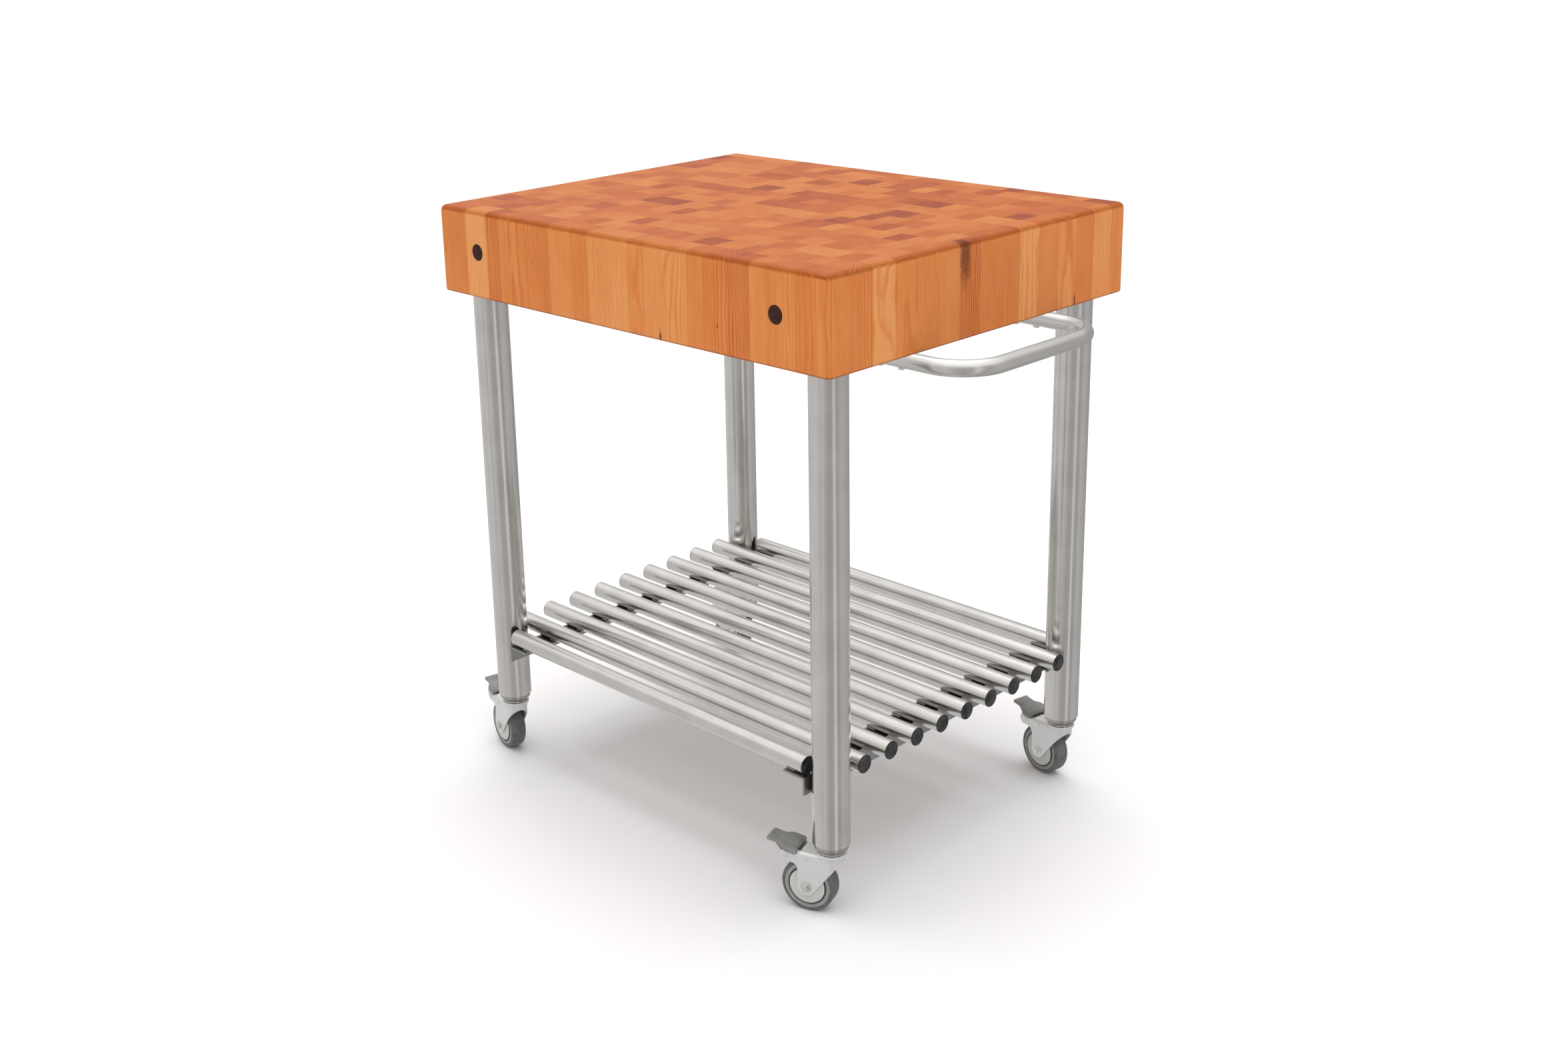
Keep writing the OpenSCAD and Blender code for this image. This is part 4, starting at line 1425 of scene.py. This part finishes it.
    def build_axle(self) -> Any:
        """Makes the axle bolt with its head, nut, flanges and sleeve.

        Returns:
            The axle.
        """
        place = self.turned(self.wheel)
        mesh = bmesh.new()
        r, out = self.bolt_r, self.cheek_out
        end = out + 4.4 * MM
        lathe(mesh, [(0.0, -end), (r - 0.9 * MM, -end), (r, -end + 0.9 * MM),
                     (r, end - 0.9 * MM), (r - 0.9 * MM, end), (0.0, end)], place, (), 48)
        sleeve = self.sleeve_r
        lathe(mesh, [(r + 0.05 * MM, -self.cheek_in), (sleeve, -self.cheek_in),
                     (sleeve, self.cheek_in), (r + 0.05 * MM, self.cheek_in)], place, (), 64)
        flange = [(r + 0.05 * MM, out), (self.flange_r, out), (self.flange_r, out + 0.4 * MM),
                  (self.flange_r - 0.6 * MM, out + 0.7 * MM),
                  (self.flange_r - 2.0 * MM, out + 0.9 * MM), (r + 0.05 * MM, out + 1.5 * MM)]
        hex_r = self.hex_flats / math.sqrt(3.0)
        corners = [(hex_r * math.cos(math.tau * i / 6), hex_r * math.sin(math.tau * i / 6))
                   for i in range(6)]
        for turn, high in ((0.0, self.head_h), (math.pi, self.nut_h)):
            side = place @ Matrix.Rotation(turn, 4, "X")
            lathe(mesh, flange, side, (), 64)
            prism(mesh, corners, out + 1.2 * MM, out + high, side)
        bmesh.ops.recalc_face_normals(mesh, faces=mesh.faces)
        axle = new_piece("axle_parts", mesh, 40.0)
        soften(axle, 0.35 * MM, 2, 50.0)
        axle = baked(axle, f"axle_bolt_{self.name}")
        dress(axle, BRIGHT)
        stand_in(axle, f"caster_{self.name}", "zinc_steel", f"axle_{self.name}")
        return axle

    def build_rivets(self) -> Any:
        """Makes the pedal's pin and two rivets, with dimpled heads.

        Returns:
            The rivets, as one piece.
        """
        out, r, pin = self.cheek_out, self.rivet_r, self.pin_r
        head = [(pin, out), (r, out), (r, out + 0.5 * MM), (r - 0.7 * MM, out + 1.1 * MM),
                (1.5 * MM, out + 1.1 * MM), (1.0 * MM, out + 0.6 * MM), (0.0, out + 0.5 * MM)]
        mesh = bmesh.new()
        place = self.turned(self.pin)
        lathe(mesh, [(radius, -height) for radius, height in reversed(head)] + head, place, (), 32)
        spot = Vector((self.wheel.x, 0.0, self.pin.z))
        for turn in (0.0, math.pi):
            side = self.turned(spot) @ Matrix.Rotation(turn, 4, "X")
            lathe(mesh, [(0.0, self.cheek_in), (pin, self.cheek_in)] + head, side, (), 32)
        rivets = new_piece(f"fork_rivets_{self.name}", outward(mesh), 40.0)
        dress(rivets, ZINC)
        stand_in(rivets, f"caster_{self.name}", "zinc_steel", f"rivets_{self.name}")
        return rivets

    def _pedal_steps(self) -> list[float]:
        """Returns the places along the pedal that its sections stand at."""
        front = [0.0, 0.4, 1.0, 2.0, 2.9, 3.2, 3.6, 3.9, 8.0, 12.0]
        waist = [14.0 + i for i in range(15)]
        tip = [self.pedal_l / MM - i for i in (14.2, 13.8, 13.3, 12.9, 10.0, 8.2, 7.8, 7.3, 6.9,
                                               4.0, 2.5, 1.4, 0.7, 0.25, 0.0)]
        return [place * MM for place in front + waist + tip]

    def _pedal_section(self, along: float) -> list[tuple[float, float]]:
        """Returns the pedal's closed section at this place.

        Args:
            along: the distance from the pedal's front edge.

        Returns:
            Points (across, up), with the plate's underside at 0.
        """
        def step(low: float, high: float) -> float:
            """Returns a smooth step from 0 at low to 1 at high, in millimetres."""
            share = min(1.0, max(0.0, (along / MM - low) / (high - low)))
            return share * share * (3.0 - 2.0 * share)

        length = self.pedal_l / MM
        half = self.pedal_w / 2.0
        half -= (half - self.tip_w / 2.0 + 0.5 * MM) * step(16.0, 29.0)
        half += 0.5 * MM * step(29.0, length - 3.0) - 2.5 * MM * step(length - 3.0, length) ** 2
        top = self.pedal_t - 1.4 * MM * (1.0 - step(0.0, 3.0))
        for groove in (3.2, length - 13.5, length - 7.5):
            top -= self.groove_depth * step(groove - 0.45, groove - 0.1)
            top += self.groove_depth * step(groove + 0.1, groove + 0.45)
        top -= 1.9 * MM * step(length - 3.0, length) ** 2
        skirt = 0.15 * MM + self.skirt * step(-3.0, 1.5) * (1.0 - step(13.0, 27.0))
        bend = min(1.4 * MM, top * 0.5)
        inner = half - self.skirt_wall
        right = arc((half - bend, top - bend), bend, 0.0, 90.0, 5)
        outside = [(half, -skirt)] + right
        under = [(-inner, -skirt), (-inner, 0.0), (inner, 0.0), (inner, -skirt)]
        return outside + [(-x, y) for x, y in reversed(outside)] + under

    def build_pedal(self) -> Any:
        """Makes the brake pedal: a plate with skirts, an arm round the pin and a cam.

        Returns:
            The pedal.
        """
        lift = Matrix.Translation(self.pin + Vector((0.0, 0.0, self.pedal_over)))
        place = self.place @ lift @ Matrix.Rotation(-self.tilt, 4, "Y")
        mesh = bmesh.new()
        loops = []
        for along in self._pedal_steps():
            loops.append([mesh.verts.new(place @ Vector((along - self.pedal_ahead, x, z)))
                          for x, z in self._pedal_section(along)])
        skin(mesh, loops)
        mesh.faces.new(loops[0])
        mesh.faces.new(loops[-1][::-1])
        self._add_arm(mesh)
        bmesh.ops.recalc_face_normals(mesh, faces=mesh.faces)
        pedal = new_piece("pedal_parts", mesh, 38.0)
        soften(pedal, 0.35 * MM, 2, 50.0)
        pedal = baked(pedal, f"brake_pedal_{self.name}")
        dress(pedal, PEDAL)
        stand_in(pedal, f"pedal_{self.name}", "pedal_plastic", f"pedal_{self.name}")
        return pedal

    def _add_arm(self, mesh: bmesh.types.BMesh) -> None:
        """Adds the pedal's arm and the cam that presses on the wheel."""
        eye, pin = self.eye_r, self.pin
        across = self.place @ Matrix.Translation(pin) @ Matrix.Rotation(math.pi / 2.0, 4, "X")
        top = self.pedal_over + 1.5 * MM
        reach = self.pedal_l - self.pedal_ahead - self.arm_short
        outline = arc((0.0, 0.0), eye, -180.0, -20.0, 10)
        outline += [(reach, top + reach * math.tan(self.tilt) - 0.6 * MM),
                    (-eye, top - eye * math.tan(self.tilt) - 0.6 * MM)]
        prism(mesh, outline, -self.arm_half, self.arm_half, across)
        to_axle = self.wheel - pin
        length = math.hypot(to_axle.x, to_axle.z) - self.wheel_r - self.cam_gap
        turn = Matrix.Rotation(math.atan2(to_axle.z, to_axle.x) + self.cam_turn, 4, "Z")
        cam = [(0.0, -self.cam_r)] + arc((length - self.cam_r, 0.0), self.cam_r, -90.0, 90.0, 8)
        cam += [(0.0, self.cam_r)]
        prism(mesh, cam, -self.cam_half, self.cam_half, across @ turn)

    def build(self) -> None:
        """Makes and dresses the whole caster."""
        self.build_wheel()
        self.build_axle()
        self.build_rivets()
        self.build_pedal()
        dress_nodes(FORK_ZINC, [f"fork_{self.name}"])


# --------------------------------------------------------------------- studio


@dataclass
class Studio:
    """A white floor, soft lights and the camera."""

    floor_half: float = 14.0
    low_sky: Colour = (0.085, 0.096, 0.106)
    high_sky: Colour = (2.06, 2.06, 2.06)
    top_glow: Colour = (1.4, 1.4, 1.4)
    panel_at: Point = (-0.2, 0.2, 3.0)
    panel_size: float = 1.8
    panel_power: float = 26.0
    light_aim: Point = (0.0, 0.0, 0.4)
    eye: Point = (1.74072, -1.82548, 1.33342)
    yaw: float = math.radians(46.600)
    pitch: float = math.radians(16.978)
    roll: float = math.radians(-1.649)
    lens: float = 41.548
    shift: tuple[float, float] = (0.05363, -0.06402)

    def build(self) -> None:
        """Makes the floor, the world, the lights and the camera."""
        self.build_floor()
        self.build_world()
        self.build_light("top_panel", self.panel_at, self.panel_size, self.panel_power)
        self.build_camera()
        bpy.context.scene.view_settings.view_transform = "Standard"

    def build_floor(self) -> None:
        """Makes the white floor."""
        mesh = bmesh.new()
        corners = [(-1, -1), (1, -1), (1, 1), (-1, 1)]
        mesh.faces.new([mesh.verts.new((x * self.floor_half, y * self.floor_half, 0.0))
                        for x, y in corners])
        floor = new_piece("floor", mesh)
        floor.data.materials.append(self.floor_material())
        floor.visible_glossy = False

    def floor_material(self) -> Any:
        """Returns a white matt finish."""
        material = bpy.data.materials.new("white_floor")
        graph = fresh_graph(material)
        shader = graph.node("ShaderNodeBsdfDiffuse", {}, {"Color": (0.97, 0.97, 0.97, 1.0)})
        graph.node("ShaderNodeOutputMaterial", {}, {"Surface": shader["BSDF"]})
        return material

    def build_world(self) -> None:
        """Makes an even light all round, with darker bands for the metal to reflect."""
        world = bpy.data.worlds.new("studio")
        bpy.context.scene.world = world
        graph = fresh_graph(world)
        ray = graph.node("ShaderNodeLightPath")
        way = graph.node("ShaderNodeTexCoord")["Generated"]
        split = graph.parts(way)
        bands = graph.mix(split["Z"].fade(0.25, 0.9), self.bands(graph, split), self.top_glow)
        sky = graph.mix(split["Z"] ** 2.0, self.low_sky, self.high_sky)
        even = graph.mix(ray["Is Glossy Ray"], sky, bands)
        seen = graph.mix(ray["Is Camera Ray"], even, (1.0, 1.0, 1.0))
        light = graph.node("ShaderNodeBackground", {}, {"Color": seen, "Strength": 1.0})
        graph.node("ShaderNodeOutputWorld", {}, {"Surface": light["Background"]})

    @staticmethod
    def bands(graph: Graph, way: Outputs) -> Signal:
        """Returns the bright and dark panels that stand round the table, for metal to reflect.

        Args:
            graph: the graph that the bands are made in.
            way: the direction from the table's middle.

        Returns:
            The brightness in that direction.
        """
        angle = way["Y"].maths("ARCTAN2", way["X"]) / math.tau + 0.5
        levels = ((0.0, 0.80), (0.205, 0.80), (0.228, 0.64), (0.262, 0.82), (0.30, 0.66),
                  (0.36, 0.52), (0.425, 0.54), (0.44, 1.00), (0.458, 1.00), (0.475, 0.54),
                  (0.515, 0.50), (0.555, 0.66), (0.64, 0.62), (0.73, 0.50), (0.84, 0.50),
                  (0.88, 0.76), (1.0, 0.80))
        return graph.ramp(angle, [(at, (level, level, level)) for at, level in levels])

    def build_light(self, name: str, place: Point, size: float, power: float) -> None:
        """Makes a soft square light that faces the table's middle.

        Args:
            name: the light's name.
            place: where it stands.
            size: the length of its sides in metres.
            power: its power in watts.
        """
        data = bpy.data.lights.new(name, "AREA")
        data.shape = "SQUARE"
        data.size = size
        data.energy = power
        light = placed(name, data)
        light.location = place
        towards = Vector(self.light_aim) - Vector(place)
        light.rotation_euler = towards.to_track_quat("-Z", "Y").to_euler()

    def build_camera(self) -> None:
        """Makes the camera."""
        data = bpy.data.cameras.new("camera")
        data.lens = self.lens
        data.sensor_width = 36.0
        data.shift_x, data.shift_y = self.shift
        camera = placed("camera", data)
        turn = Matrix.Rotation(self.yaw, 4, "Z") @ Matrix.Rotation(
            math.pi / 2.0 - self.pitch, 4, "X") @ Matrix.Rotation(self.roll, 4, "Z")
        camera.matrix_world = Matrix.Translation(self.eye) @ turn
        bpy.context.scene.camera = camera


def main() -> None:
    """Builds the whole table and the studio round it."""
    logging.basicConfig(level=logging.INFO, format="%(message)s", stream=sys.stdout)
    Studio().build()
    block = ButcherBlock()
    block.build()
    block.build_plugs()
    block.dress_hidden()
    legs = LegFrame()
    legs.dress()
    legs.build_caps()
    legs.build_welds()
    bar = TowelBar()
    bar.build()
    bar.build_screws()
    legs.build_races()
    dress_nodes(CHROME, ["swivel_balls"])
    dress_nodes(BRIGHT, ["caster_stems"])
    for corner in Corner:
        Caster(corner).build()


if __name__ == "__main__":
    main()
